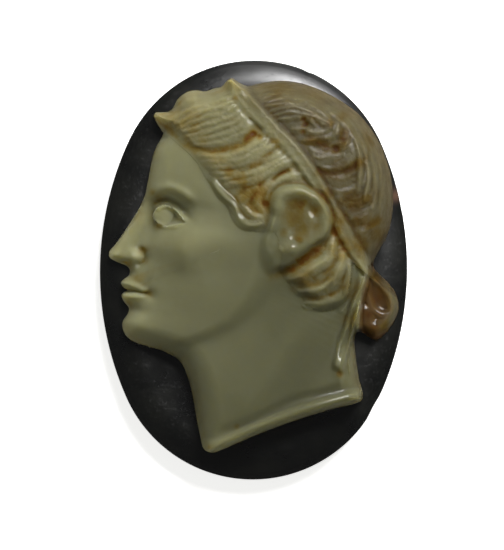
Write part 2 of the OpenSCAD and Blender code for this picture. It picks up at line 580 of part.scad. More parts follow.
// Hair: a mass that stands over the skin, with full forms and locks laid on it
function hair_depth(p) = ease(along(hair_line, p)[0] / HAIR_SPREAD);
function hair_mass(p, bare) =
    let (d = along(hair_line, p)[0])
    bare + hair_rise * ease(d / HAIR_SPREAD) - (d < 0 ? HAIRLINE_GROOVE * bell(d / HAIRLINE_WIDTH, 0) : 0);
function lock_height(row, p) =
    let (n = along(row[2][0], p), s = n[1],
        half = row[0] * grow(LOCK_ROOT_WIDTH, s, LOCK_ROOT_SPAN) * grow(LOCK_END_WIDTH, 1 - s, LOCK_END_SPAN),
        q = n[0] / half)
    lock_fullness * row[1] * max(0, 1 - q * q) * grow(LOCK_ROOT_HEIGHT, s, LOCK_RISE_SPAN)
        * grow(LOCK_END_HEIGHT, 1 - s, LOCK_FALL_SPAN);
function roll_height(row, p) =
    let (d = p - [row[0], row[1]], c = cos(row[4]), s = sin(row[4]),
        r = norm([(d[0] * c + d[1] * s) / row[2], (d[1] * c - d[0] * s) / row[3]]))
    row[5] * bell(pow(r, ROLL_POWER), 0);
function with_locks(p, mass) =
    let (deep = hair_depth(p),
        rolls = [for (row = ROLLS) roll_height(row, p)] * [for (row = ROLLS) 1],
        locks = [for (row = lock_lines) if (in_box(p, row[2][1])) lock_height(row, p)])
    mass + deep * (rolls - LOCK_SINK) + (len(locks) == 0 ? 0 : max(locks));

// Hair band: a flat ribbon with two raised edges, pressed into the hair
function with_band(p, mass, z) = !in_box(p, band_line[1]) ? z :
    let (n = along(band_line[0], p), d = abs(n[0]),
        half = band_half_width
            + (band_back_half_width - band_half_width) * ease((n[1] - BAND_NARROW_START) / BAND_NARROW_SPAN),
        share = ease((half + BAND_OVERLAP - d) / BAND_SLOPE),
        pressed = z - BAND_PRESS * bell((d - half - BAND_PRESS_OFFSET) / BAND_PRESS_WIDTH, 0),
        edge = BAND_EDGE * bell((d - BAND_EDGE_PLACE * half) / BAND_EDGE_WIDTH, 0))
    pressed * (1 - share) + (mass + band_rise + edge) * share;

// Ear: a raised form with its rims, shell and lobe
function with_ear(p, bare, z) =
    let (q = EAR_MIDDLE + (p - EAR_MIDDLE) / ear_size)
    !in_box(q, ear_line[1]) ? z :
    let (inward = -along(ear_line[0], q)[0],
        slope = EAR_SLOPE * (1 + LOBE_SLOPE * ease((LOBE_TOP - q[1]) / LOBE_TOP_SPAN)
            * ease((LOBE_BACK - q[0]) / LOBE_BACK_SPAN)),
        rims = [for (row = ear_lines) row[1] * bell(along(row[2], q)[0] / row[0], 0)],
        form = ear_rise * ease(inward / slope + EDGE_LEAD) + rims[0] + rims[1]
            + swellings(EAR_BUMPS, q[0], q[1]),
        share = ease(inward / slope + EDGE_SOFTNESS))
    (z - EAR_GROOVE * bell(inward / EAR_GROOVE_WIDTH, 0)) * (1 - share)
        + (min(z, bare + EAR_SEAT) + form) * share;

// Bow, knot and ribbon ends at the nape
function fold_height(row, p) =
    let (q = along(row[2], p)[0] / row[0])
    row[1] * (FOLD_CREST * bell(q, 0) - (FOLD_CREST - 1) * bell(FOLD_SHARPNESS * q, 0));
function with_loop(p, z) = !in_box(p, bow_line[1]) ? z :
    let (inward = -along(bow_line[0], p)[0],
        share = ease(p[0] > BOW_FREE ? inward / BOW_FREE_SLOPE + BOW_FREE_LEAD : inward / BOW_SLOPE + BOW_LEAD))
    z * (1 - share) + (BOW_FLOOR + max([for (row = bow_folds) fold_height(row, p)])) * share;
function ribbon_height(row, p) = !in_box(p, row[2][1]) ? 0 :
    let (n = along(row[2][0], p), s = n[1],
        q = abs(n[0]) / (row[0] + (row[1] - row[0]) * ease(s / RIBBON_WIDENING)))
    ribbon_rise * ease((1 - q) / RIBBON_SLOPE) * ease((1 - s) / RIBBON_STOP) * ease(s / RIBBON_START);
function with_bow(p, z) =
    let (knot = KNOT_RISE * dome(norm([(p[0] - KNOT[0]) / KNOT_HALF[0], (p[1] - KNOT[1]) / KNOT_HALF[1]])),
        top = max(with_loop(p, z), knot))
    top + ease((top - RIBBON_SEAT) / RIBBON_SEAT_SPAN)
        * max([for (row = ribbon_lines) ribbon_height(row, p)]);

// Height of the carving over the ground, before its edge is rounded
function carving(p) =
    let (bare = skin(p), mass = hair_mass(p, bare))
    with_bow(p, with_ear(p, bare, with_band(p, mass, with_locks(p, mass))));

// Outline of the relief, and its radius and edge on each ray from the hub
outline = ring(concat([for (q = PROFILE) [each place(q[0], q[1]), q[2]]], OUTLINE), 5);
function bearing(p) = let (a = atan2(p[1] - HUB[1], p[0] - HUB[0])) a < FIRST_RAY - RAY_SLACK ? a + 360 : a;
outline_radius = [for (k = [0 : len(outline) - 1])
    let (p = outline[k], a = bearing(p)) [k > len(outline) / 2 && a < 180 ? a + 360 : a,
        norm([p[0] - HUB[0], p[1] - HUB[1]])]];
outline_edge = [for (k = [0 : len(outline) - 1]) [outline_radius[k][0], outline[k][2]]];
first_bearing = outline_radius[0][0];
function ray_angle(k) =
    let (a = FIRST_RAY + 360 * k / RAYS, b = a - RAY_CROWDING * sin(a - FACE_RAY))
    b > first_bearing + 360 ? b - 360 : b;
ray_angles = [for (k = [0 : RAYS - 1]) ray_angle(k)];
ray_radius = [for (a = ray_angles) lookup(a, outline_radius)];
ray_edge = [for (a = ray_angles) lookup(a, outline_edge)];
function ray_point(k, share) = HUB + share * ray_radius[k] * [cos(ray_angles[k]), sin(ray_angles[k])];
rim = [for (k = [0 : RAYS - 1]) ray_point(k, 1)];

// Share of the rounded edge that a point has climbed, from the part of the outline near its ray
function edge_share(k, p) =
    min([for (j = [k - EDGE_WINDOW : k + EDGE_WINDOW - 1])
        let (i = (j + RAYS) % RAYS, m = (i + 1) % RAYS, a = rim[i], ab = rim[m] - a,
            t = clamp((p - a) * ab / (ab * ab)))
        norm(p - a - t * ab) / (ray_edge[i] + t * (ray_edge[m] - ray_edge[i]))]);
function relief_height(k, share) =
    let (p = ray_point(k, share), t = ray_radius[k] * (1 - share) > EDGE_REACH ? 1 : min(1, edge_share(k, p)))
    carving_depth * carving(p) * sqrt(1 - (1 - t) * (1 - t));

// Rings of points from the rim to the hub, with fewer rays on the inner ones
function ring_share(k) =
    k <= RIM_RINGS ? 1 - RIM_STEP * k * (k + 2)
        : 1 - RIM_STEP * RIM_RINGS * (RIM_RINGS + 2) - RING_STEP * (k - RIM_RINGS);
function ray_stride(share) = pow(2, len([for (limit = STRIDE_SHARES) if (share <= limit) limit]));
ring_shares = [for (k = [0 : RING_COUNT]) ring_share(k)];
ring_strides = [for (s = ring_shares) ray_stride(s)];
ring_sizes = [for (s = ring_strides) RAYS / s];
function sum_to(list, n) = n == 0 ? 0 : sum_to(list, n - 1) + list[n - 1];
ring_starts = [for (k = [0 : RING_COUNT + 1]) sum_to(ring_sizes, k)];
hub_index = ring_starts[RING_COUNT + 1];

// Faces of the band between two rings: an inner ring has as many rays as the outer one, or half.
// Each square of the band is split along the diagonal whose ends are nearer in height.
function band_faces(k, z) =
    let (a = ring_starts[k], b = ring_starts[k + 1], n = ring_sizes[k + 1], wide = ring_sizes[k])
    n == wide
        ? [for (j = [0 : n - 1]) let (m = (j + 1) % n)
            each abs(z[a + j] - z[b + m]) < abs(z[a + m] - z[b + j])
                ? [[a + j, b + j, b + m], [a + j, b + m, a + m]]
                : [[a + j, b + j, a + m], [a + m, b + j, b + m]]]
        : [for (j = [0 : n - 1]) let (m = (j + 1) % n, o = 2 * j, q = (o + 2) % wide)
            each [[b + j, a + o + 1, a + o], [b + j, b + m, a + o + 1], [b + m, a + q, a + o + 1]]];

// Way from the hub along a ray to the oval that lies inside the rim by a given distance
function circle_reach(d, centre, radius) =
    let (h = HUB - centre, along_ray = h * d)
    sqrt(along_ray * along_ray - h * h + radius * radius) - along_ray;
function oval_reach(angle, inset) =
    let (d = [cos(angle), sin(angle)], top = sin(angle) > 0 ? 1 : -1, right = cos(angle) > 0 ? 1 : -1,
        end = circle_reach(d, [0, top * end_centre], end_radius - inset), p = HUB + end * d,
        bearing_up = atan2(top * p[1] - end_centre, abs(p[0])))
    bearing_up > join_angle ? end : circle_reach(d, [-right * side_centre, 0], side_radius - inset);
// Distance of a point from the rim, and the height of the ground there
function rim_distance(p) =
    let (x = abs(p[0]), y = abs(p[1]))
    atan2(y - end_centre, x) > join_angle
        ? end_radius - norm([x, y - end_centre]) : side_radius - norm([x + side_centre, y]);
function ground_height(p) =
    let (s = shoulder_width - rim_distance(p))
    s <= 0 ? ground_top : ground_top - shoulder_radius + sqrt(shoulder_radius * shoulder_radius - s * s);

// Dark layer: bevelled back, upright girdle, rounded shoulder, fine cut and foot under the head.
// Its rings of points run from the back up over the rim to the foot.
module ground_layer() {
    rim_reach = [for (angle = ray_angles) oval_reach(angle, 0)];
    back_reach = [for (angle = ray_angles) oval_reach(angle, back_bevel)];
    foot = [for (r = ray_radius) relief_scale * r];
    start = [for (k = [0 : RAYS - 1])
        max(foot[k] + SHOULDER_START * (rim_reach[k] - foot[k]), oval_reach(ray_angles[k], shoulder_width))];
    function at(k, reach, from) = from + reach * [cos(ray_angles[k]), sin(ray_angles[k])];
    function foot_point(k) = at(k, foot[k], relief_scale * HUB);
    points = concat(
        [for (k = [0 : RAYS - 1]) [each at(k, back_reach[k], HUB), 0]],
        [for (k = [0 : RAYS - 1]) [each at(k, rim_reach[k], HUB), back_bevel]],
        [for (k = [0 : RAYS - 1]) [each at(k, rim_reach[k], HUB), girdle_top]],
        [for (row = GROUND_ROWS, k = [0 : RAYS - 1])
            let (p = at(k, start[k] + row * (rim_reach[k] - start[k]), HUB)) [each p, ground_height(p)]],
        [for (k = [0 : RAYS - 1]) let (p = foot_point(k)) [each p, min(ground_top, ground_height(p))]],
        [for (k = [0 : RAYS - 1]) [each foot_point(k), ground_thickness]]);
    last = len(points) - RAYS;
    faces = concat(
        [[for (k = [0 : RAYS - 1]) k]],
        [for (a = [0 : RAYS : last - 1], k = [0 : RAYS - 1])
            let (b = a + RAYS, m = (k + 1) % RAYS) each [[a + k, b + k, a + m], [a + m, b + k, b + m]]],
        [[for (k = [RAYS - 1 : -1 : 0]) last + k]]);
    color("#2a2c2b") polyhedron(points, faces, convexity = 4);
}

module head_relief() {
    points = concat(
        [for (k = [0 : RING_COUNT], j = [0 : ring_sizes[k] - 1])
            let (ray = j * ring_strides[k], p = ray_point(ray, ring_shares[k]))
            [p[0] * relief_scale, p[1] * relief_scale,
                ground_thickness + (k == 0 ? 0 : relief_scale * relief_height(ray, ring_shares[k]))]],
        [[HUB[0] * relief_scale, HUB[1] * relief_scale,
            ground_thickness + relief_scale * relief_height(0, 0)]]);
    heights = column(points, 2);
    last = ring_starts[RING_COUNT];
    inner = ring_sizes[RING_COUNT];
    faces = concat(
        [for (k = [0 : RING_COUNT - 1]) each band_faces(k, heights)],
        [for (j = [0 : inner - 1]) [last + j, hub_index, last + (j + 1) % inner]],
        [[for (j = [0 : RAYS - 1]) j]]);
    color("#a8a587") polyhedron(points, faces, convexity = 8);
}

ground_layer();
head_relief();
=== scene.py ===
"""Looks of an oval cameo: a head in profile carved in the pale layer of a banded stone over a dark ground.

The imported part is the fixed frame. Two pieces stand for its two layers: the dark oval ground and
the carved head. Plan places and heights are in millimetres, as in the part; meshes are in metres.
"""
import math

import bmesh
import bpy
import numpy as np
from bpy.props import FloatProperty, FloatVectorProperty, IntProperty, PointerProperty
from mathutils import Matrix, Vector


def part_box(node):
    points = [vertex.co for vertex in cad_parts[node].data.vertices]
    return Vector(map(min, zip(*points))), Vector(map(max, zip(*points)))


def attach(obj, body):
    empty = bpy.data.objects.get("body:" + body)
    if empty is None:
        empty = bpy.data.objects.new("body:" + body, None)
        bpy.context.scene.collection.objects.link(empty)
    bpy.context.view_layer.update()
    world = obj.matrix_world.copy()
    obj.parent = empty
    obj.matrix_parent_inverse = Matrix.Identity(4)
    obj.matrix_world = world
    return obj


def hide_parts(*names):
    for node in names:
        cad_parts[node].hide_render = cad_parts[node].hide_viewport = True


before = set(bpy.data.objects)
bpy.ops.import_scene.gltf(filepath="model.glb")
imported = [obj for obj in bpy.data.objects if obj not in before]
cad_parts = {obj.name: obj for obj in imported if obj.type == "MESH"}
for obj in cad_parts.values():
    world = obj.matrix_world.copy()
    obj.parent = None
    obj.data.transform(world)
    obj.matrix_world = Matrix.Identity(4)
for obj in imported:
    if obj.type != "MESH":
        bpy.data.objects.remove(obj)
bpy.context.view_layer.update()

GROUND_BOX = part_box("ground_layer")

bl_info = {
    "name": "Oval Cameo",
    "version": (1, 0, 0),
    "blender": (4, 5, 0),
    "location": "3D View > Sidebar > Cameo",
    "description": "Builds the stone ground, the carved head and the studio of an oval cameo",
    "category": "Add Mesh",
}

MM = 0.001
# How far the dark stone is cut down round the head
GROUND_CUT = 0.05 * MM

# Middle of the rays on which the carving is laid out
HUB = np.array([0.82, 2.86])
# Place on the head, in head heights: u forward of the face line, v above the chin
HEAD = 20.0
TILT = math.radians(9.0)
CHIN = np.array([-9.36, -5.06])
FORWARD = np.array([-math.cos(TILT), math.sin(TILT)])
UPWARD = np.array([math.sin(TILT), math.cos(TILT)])

# Profile of the face from the hairline to under the chin
# columns: u, v, radius of the rounded edge in mm
PROFILE = (
    (-0.022, 0.745, 1.5), (-0.004, 0.690, 1.5), (0.002, 0.630, 1.5), (0.003, 0.575, 1.4),
    (0.004, 0.530, 1.2), (0.012, 0.490, 0.9), (0.030, 0.440, 0.8), (0.054, 0.385, 0.8),
    (0.080, 0.330, 0.8), (0.096, 0.302, 0.7), (0.092, 0.281, 0.6), (0.066, 0.270, 0.6),
    (0.030, 0.262, 0.6), (0.014, 0.250, 0.7), (0.014, 0.230, 0.8), (0.030, 0.212, 0.7),
    (0.036, 0.198, 0.6), (0.026, 0.184, 0.5), (0.008, 0.176, 0.5), (0.021, 0.167, 0.5),
    (0.027, 0.153, 0.6), (0.014, 0.133, 0.8), (-0.006, 0.115, 0.9), (-0.006, 0.093, 1.0),
    (0.006, 0.068, 1.2), (0.004, 0.040, 1.4), (-0.014, 0.014, 1.5), (-0.048, -0.002, 1.6),
    (-0.100, -0.010, 1.6), (-0.160, -0.018, 1.6),
)
# Rest of the outline: neck, cut of the neck, nape, bow, back of the head, band and front hair
# columns: x, y, radius of the rounded edge
OUTLINE = (
    (-5.20, -6.55, 1.8), (-4.65, -7.60, 2.0), (-4.25, -9.00, 2.0), (-3.95, -10.60, 2.0),
    (-3.65, -12.00, 1.6), (-3.45, -12.75, 0.8), (-3.00, -13.05, 0.6), (-2.30, -12.95, 0.6),
    (0.40, -11.75, 0.6), (3.00, -10.75, 0.6), (5.60, -9.90, 0.6), (7.40, -9.45, 0.6),
    (7.85, -9.15, 0.6), (7.90, -8.60, 0.8), (7.65, -7.80, 1.4), (7.45, -6.60, 1.8),
    (7.30, -5.40, 1.8), (7.30, -4.65, 1.2), (7.60, -4.30, 0.8), (8.10, -4.55, 0.7),
    (8.60, -4.85, 0.7), (9.10, -4.75, 0.7), (9.75, -4.10, 0.8), (10.25, -3.20, 0.8),
    (10.40, -2.40, 0.8), (10.15, -1.50, 0.8), (9.60, -0.75, 0.8), (9.00, -0.20, 0.8),
    (8.60, 0.25, 0.8), (8.60, 0.80, 1.2), (9.00, 1.60, 1.6), (9.55, 2.70, 1.9),
    (9.85, 4.00, 2.1), (9.90, 5.40, 2.2), (9.75, 6.80, 2.2), (9.40, 8.00, 2.2),
    (8.90, 9.20, 2.2), (8.20, 10.30, 2.2), (7.30, 11.30, 2.2), (6.20, 12.10, 2.2),
    (4.90, 12.80, 2.1), (3.40, 13.35, 2.1), (1.90, 13.55, 2.0), (0.50, 13.40, 1.9),
    (-0.45, 13.12, 0.8), (-1.10, 13.30, 0.4), (-1.70, 13.64, 0.35), (-2.10, 13.44, 0.35),
    (-2.45, 13.06, 0.8), (-2.95, 12.95, 1.6), (-3.60, 12.72, 1.7), (-4.40, 12.78, 1.8),
    (-5.10, 12.55, 1.8), (-5.60, 12.10, 1.7), (-5.85, 11.60, 1.4), (-6.20, 11.25, 1.0),
    (-6.75, 11.20, 0.7), (-7.15, 11.15, 0.6), (-7.25, 10.85, 0.6), (-7.00, 10.35, 0.9),
    (-6.68, 9.85, 1.3),
)

# Heights of the face over the ground in mm, a row for each level of the head
# Columns of each row: how far behind the face line its heights lie, in head heights
FACE_DEPTHS = (-0.10, -0.05, 0, 0.04, 0.08, 0.13, 0.20, 0.30, 0.42)
# columns: v, heights
FACE_LEVELS = (
    (-0.06, (0.60, 0.70, 0.90, 1.15, 1.45, 1.80, 2.30, 2.80, 3.30)),
    (0.00, (0.60, 0.70, 0.90, 1.20, 1.60, 2.00, 2.50, 3.00, 3.50)),
    (0.06, (0.60, 0.70, 1.00, 1.45, 1.85, 2.30, 2.85, 3.40, 3.80)),
    (0.12, (0.60, 0.70, 0.85, 1.30, 1.80, 2.35, 3.00, 3.60, 4.00)),
    (0.17, (0.60, 0.70, 0.85, 1.25, 1.75, 2.40, 3.15, 3.80, 4.10)),
    (0.21, (0.60, 0.70, 0.90, 1.30, 1.85, 2.55, 3.30, 3.95, 4.20)),
    (0.26, (0.60, 0.75, 0.95, 1.30, 1.95, 2.75, 3.50, 4.10, 4.30)),
    (0.30, (0.65, 0.80, 1.00, 1.25, 2.05, 2.95, 3.75, 4.20, 4.40)),
    (0.35, (0.65, 0.75, 0.95, 1.40, 2.30, 3.20, 3.95, 4.35, 4.50)),
    (0.41, (0.60, 0.70, 0.85, 1.25, 2.10, 3.15, 3.95, 4.40, 4.55)),
    (0.46, (0.60, 0.70, 0.80, 0.95, 1.65, 2.75, 3.70, 4.30, 4.60)),
    (0.50, (0.60, 0.80, 1.00, 1.25, 1.80, 2.75, 3.65, 4.25, 4.65)),
    (0.54, (0.80, 1.20, 1.70, 2.20, 2.80, 3.40, 3.90, 4.35, 4.70)),
    (0.60, (1.00, 1.40, 1.90, 2.60, 3.15, 3.65, 4.10, 4.50, 4.80)),
    (0.70, (1.00, 1.40, 1.90, 2.65, 3.20, 3.75, 4.20, 4.60, 4.90)),
    (0.85, (1.00, 1.40, 1.90, 2.50, 3.00, 3.50, 4.00, 4.40, 4.80)),
)
# Where the face passes into the skull, and over what stretch, in head heights
SKULL_START = 0.28
SKULL_BLEND = 0.16
# Skull: its middle and half sizes in head heights, and its fall at that distance in mm
SKULL_MIDDLE = (-0.47, 0.60)
SKULL_HALF = (0.60, 0.55)
SKULL_FALL = 1.3

# Underside of the jaw from the chin to the ear, in head heights
JAW = (
    (0.05, -0.030), (-0.06, -0.016), (-0.16, 0.004), (-0.27, 0.055),
    (-0.365, 0.130), (-0.42, 0.22), (-0.445, 0.32), (-0.46, 0.44),
)
# Step down from the jaw to the neck in mm, and how much it loses towards the ear
JAW_STEP = 1.5
JAW_STEP_LOSS = 0.7
# Where the step starts and how wide it is: at the chin, and what that gains towards the ear
JAW_INSET = (0.25, 0.5)
JAW_SLOPE = (1.5, 1.2)
# Share of the jaw line over which the step fades out
JAW_FADE = 0.3
# Middle of the neck from behind the ear to its cut
NECK = ((5.5, 2.1), (3.6, -2.1), (2.6, -6.4), (2.2, -12.1))
# Fall of the neck at this distance from its middle, and its drop towards the cut
NECK_FALL = 0.85
NECK_HALF = 6
NECK_DROP = 0.25
NECK_DROP_START = -6
NECK_DROP_LENGTH = 7
HEAD_NECK_BLEND = 0.5
# Line round the hair from the forehead over the ear and under the nape curls
HAIRLINE = (
    (-7.4, 10.1), (-6.8, 9.8), (-6.1, 9.4), (-5.4, 8.8), (-4.7, 8.2), (-4.0, 7.4), (-3.4, 6.4),
    (-2.6, 5.4), (-1.8, 4.4), (-1.1, 3.4), (-0.4, 2.8), (0.6, 2.7), (1.5, 2.6), (2.0, 1.0),
    (1.9, 0.1), (2.2, -0.6), (3.0, -1.4), (3.8, -2.3), (4.6, -2.8), (5.8, -2.6), (6.6, -2.0),
)
# Corners that close the hairline outside the head
HAIR_CORNERS = (
    (7.0, 0.6), (10.5, -2.1), (11.9, 5.0), (9.0, 15.0), (-3.8, 16.4), (-8.8, 15.0), (-8.8, 10.1),
)
# Width over which the hair rises from the skin, and the dip of the skin beside it
HAIR_SLOPE = 1.1
HAIRLINE_DIP = 0.04
# Middle of the hair band from the top of the forehead to the knot at the nape
BAND = (
    (-1.8, 13.4), (-0.9, 12.2), (0.2, 11.0), (1.5, 9.7), (2.7, 8.5),
    (3.9, 6.9), (5.0, 5.1), (6.2, 3.1), (7.2, 1.4), (8.2, 0.1),
)
# Groove beside the band and the wall up to it: widths and depth, and the lip along its edges
BAND_GAP = 0.16
BAND_SLOPE = 0.34
BAND_DIP = 0.07
BAND_DIP_WIDTH = 0.22
BAND_LIP = 0.04
# Loop of the ribbon bow under the knot
BOW = (
    (8.2, 0.2), (8.9, -0.3), (9.6, -0.8), (10.1, -1.5), (10.4, -2.4), (10.3, -3.2),
    (9.8, -4.1), (9.1, -4.8), (8.4, -4.9), (7.8, -4.5), (7.6, -3.2), (7.8, -1.5), (8.2, 0.2),
)
# Height of the floor of the loop, and the place behind which the loop stands free of the neck
BOW_FLOOR = 1.25
BOW_FREE = 8.3
# Raised folds of the loop: columns half width, height, points
BOW_FOLDS = (
    (0.50, 0.55, ((8.3, -0.1), (9.2, -0.6), (9.9, -1.4), (10.2, -2.4), (10.0, -3.2), (9.4, -3.9))),
    (0.30, 0.40, ((8.1, -0.7), (8.1, -1.8), (8.5, -2.7), (9.1, -3.1), (9.7, -3.1))),
    (0.75, 0.48, ((7.9, -3.0), (8.1, -3.8), (8.7, -4.2), (9.4, -3.9))),
)
# Hanging ends of the ribbon: columns half width at the knot, half width lower down, points
RIBBON_ENDS = (
    (0.30, 0.58, ((8.0, -0.4), (7.5, -1.6), (7.1, -2.9), (6.8, -4.2), (6.5, -5.4), (6.2, -6.5),
        (6.0, -7.2))),
    (0.26, 0.34, ((8.1, -0.6), (7.8, -1.8), (7.5, -3.0), (7.2, -4.2), (7.0, -5.6), (7.1, -6.8),
        (7.2, -7.6))),
)
# Heights of the fold along the ribbon and of its fine creases
RIBBON_FOLD = 0.12
RIBBON_CREASE = 0.08
# Knot: its middle, its height over the ground and its half sizes
KNOT = (8.1, 0.1)
KNOT_RISE = 3.1
KNOT_HALF = (0.55, 0.68)

# Lines cut or raised on the face, in head heights
# columns: half width in mm, height in mm, share that fades in, share that fades out, points
FACE_LINES = (
    # upper eyelid, lower eyelid, fold over the eyelid, brow
    (0.20, 0.32, 0.12, 0.25, ((-0.040, 0.472), (-0.055, 0.491), (-0.080, 0.498),
        (-0.108, 0.487), (-0.134, 0.467), (-0.156, 0.448))),
    (0.17, 0.20, 0.12, 0.25, ((-0.044, 0.438), (-0.064, 0.427), (-0.090, 0.425),
        (-0.118, 0.433), (-0.140, 0.442), (-0.154, 0.448))),
    (0.20, -0.24, 0.25, 0.30, ((-0.030, 0.490), (-0.054, 0.513), (-0.086, 0.520),
        (-0.118, 0.508), (-0.150, 0.484), (-0.178, 0.458))),
    (0.36, 0.25, 0.30, 0.40, ((-0.012, 0.530), (-0.045, 0.552), (-0.090, 0.562),
        (-0.140, 0.546), (-0.185, 0.512))),
    # groove round the wing of the nose
    (0.20, -0.28, 0.30, 0.20, ((0.004, 0.334), (-0.022, 0.323), (-0.032, 0.300),
        (-0.022, 0.278), (-0.002, 0.268))),
    # upper lip, lower lip, line of the mouth
    (0.26, 0.34, 0.05, 0.50, ((0.050, 0.205), (0.018, 0.203), (-0.015, 0.195),
        (-0.045, 0.186), (-0.066, 0.180))),
    (0.30, 0.36, 0.05, 0.50, ((0.045, 0.150), (0.015, 0.153), (-0.015, 0.158),
        (-0.042, 0.166), (-0.060, 0.173))),
    (0.12, -0.30, 0.02, 0.20, ((0.030, 0.176), (0.006, 0.176), (-0.020, 0.178),
        (-0.048, 0.176), (-0.072, 0.179))),
)
# Round swellings and hollows of the face, in head heights
# columns: u, v, half width, half height, height in mm
FACE_BUMPS = (
    (0.012, 0.300, 0.030, 0.024, 0.42),
    (0.036, 0.274, 0.018, 0.007, -0.35),
    (0.075, 0.297, 0.026, 0.020, 0.22),
    (-0.074, 0.177, 0.018, 0.016, -0.22),
    (-0.022, 0.112, 0.045, 0.018, -0.22),
    (-0.035, 0.055, 0.050, 0.045, 0.25),
    (-0.165, 0.355, 0.060, 0.062, 0.34),
    (-0.280, 0.400, 0.110, 0.050, 0.12),
)
# Front of the eyeball between the eyelids, its middle and half size in head heights, and its rise
EYE_FRONT = ((-0.040, 0.472), (-0.0370, 0.456), (-0.044, 0.438))
EYE_MIDDLE = (-0.086, 0.462)
EYE_HALF = (0.056, 0.053)
EYE_RISE = 1.45
EYE_DOME = 0.80
EYE_SINK = 0.25
# Lines of the neck: the muscle from behind the ear, the hollow behind it, the raised rim at the
# cut and the groove along that rim
# columns: half width, height, share that fades in, share that fades out, power, points
NECK_LINES = (
    (1.00, 0.26, 0.30, 0.30, 2, ((4.9, -2.1), (3.0, -4.9), (0.6, -8.3), (-1.7, -11.4))),
    (0.90, -0.12, 0.30, 0.30, 2, ((7.0, -2.9), (5.5, -5.7), (3.3, -8.7), (1.2, -10.7))),
    (0.45, 0.38, 0.02, 0.02, 4, ((-3.5, -12.6), (-2.2, -12.4), (0.3, -11.3), (3.3, -10.1),
        (6.2, -9.2), (8.3, -8.7))),
    (0.35, -0.16, 0.10, 0.10, 2, ((-2.8, -11.6), (-1.0, -11.1), (1.0, -10.2), (3.3, -9.1),
        (6.2, -8.4), (8.0, -7.9))),
)

# Locks of hair, in groups that pass evenly from a first lock to a last one
# columns: points of the first lock, of the last lock if there is one, number of locks, half width,
# height, strands in a lock
LOCKS = (
    # full roll over the forehead, each strand from the tip or the hairline up to the band
    (((-7.0, 10.9), (-6.0, 11.7), (-5.0, 12.4), (-3.6, 12.5), (-2.1, 12.7)),
     ((-4.6, 8.8), (-3.2, 8.9), (-1.8, 9.2), (-0.7, 9.8), (0.1, 10.9)), 9, 0.33, 0.15, 1),
    # waves at the temple
    (((-3.9, 8.1), (-2.1, 8.0), (-0.6, 8.5), (0.4, 9.3), (1.0, 10.5)),
     ((-2.2, 5.9), (-0.4, 6.3), (1.1, 7.0), (2.3, 7.6), (3.3, 8.0)), 6, 0.40, 0.18, 1),
    # rope along the hairline, then the curls between it and the ear
    (((-3.0, 6.4), (-2.3, 5.4), (-1.6, 4.6), (-1.2, 3.7), (-0.5, 3.2), (0.5, 3.3)), None, 1, 0.42, 0.28, 2),
    (((0.4, 3.6), (-0.4, 4.1), (-0.8, 4.9), (0.0, 5.7), (1.4, 6.2)),
     ((1.0, 4.7), (1.0, 5.6), (1.6, 6.2), (2.8, 6.7), (4.0, 6.9)), 3, 0.40, 0.14, 1),
    # top of the crown
    (((-0.4, 12.8), (1.5, 13.2), (3.7, 13.0), (5.6, 12.2), (7.0, 11.1)),
     ((1.3, 10.5), (2.3, 10.8), (3.2, 10.8), (3.9, 10.6), (4.3, 10.2)), 8, 0.24, 0.15, 1),
    # small whirl, then nested curls of the crown, each from the back of the head round to the band
    (((5.0, 10.9), (5.3, 10.3), (5.0, 9.9), (4.0, 9.8), (2.6, 9.9)),
     ((5.6, 11.2), (5.8, 10.1), (5.4, 9.5), (4.2, 9.2), (2.9, 9.3)), 2, 0.34, 0.12, 1),
    (((6.5, 11.3), (6.8, 10.0), (6.4, 8.8), (5.3, 8.1), (4.2, 8.1), (3.3, 8.8)),
     ((8.6, 9.6), (9.0, 7.6), (8.6, 5.9), (7.4, 4.9), (6.0, 5.0), (4.9, 6.0)), 5, 0.46, 0.10, 2),
    (((9.2, 8.6), (9.5, 6.6), (9.1, 4.9), (8.0, 3.9), (6.8, 3.8), (5.6, 4.9)),
     ((9.7, 3.6), (9.4, 2.3), (8.9, 1.3), (8.3, 0.9), (7.7, 1.0), (7.3, 1.7)), 4, 0.48, 0.09, 2),
    # long strands down the back of the head
    (((5.6, 12.5), (7.4, 11.0), (8.7, 9.3), (9.4, 7.4), (9.6, 5.4), (9.4, 3.4)),
     ((5.2, 11.4), (6.3, 10.6), (7.0, 9.4), (7.4, 8.0), (7.5, 6.6), (7.3, 5.6)), 5, 0.30, 0.28, 1),
    # curls at the nape
    (((5.6, 2.2), (5.3, 1.1), (4.6, 0.4), (3.7, -0.2), (2.7, -0.5)),
     ((6.9, 0.8), (6.9, -0.8), (6.1, -1.9), (4.9, -2.4), (3.8, -2.4)), 3, 0.54, 0.28, 2),
    (((7.3, 0.4), (7.4, -0.8), (7.0, -1.9), (6.3, -2.7)), None, 1, 0.36, 0.14, 1),
)
# How far a lock sinks into the mass of the hair, and how it sways to the sides
LOCK_BED = 0.10
LOCK_WAVER = 0.05
# Share of its length over which a lock rises, and the width of its blend with others
LOCK_START = 0.15
LOCK_BLEND = 0.04
# Height of a lock from which its strands have their full depth
STRAND_LOCK = 0.16
# Full forms that carry the locks: columns x, y, half width, half height, lean in degrees, height
ROLLS = (
    (-2.9, 11.1, 2.7, 1.8, 12, 0.34),
    (-1.0, 8.2, 2.4, 0.8, 22, 0.16),
    (0.7, 7.0, 2.2, 0.7, 26, 0.16),
    (4.6, 10.2, 1.4, 1.2, 0, 0.05),
    (5.8, 7.9, 2.4, 0.9, 12, 0.05),
    (7.3, 5.8, 2.2, 0.9, 14, 0.05),
    (8.3, 3.4, 1.6, 0.9, 20, 0.05),
    (4.9, -0.6, 1.9, 1.4, 30, 0.20),
)
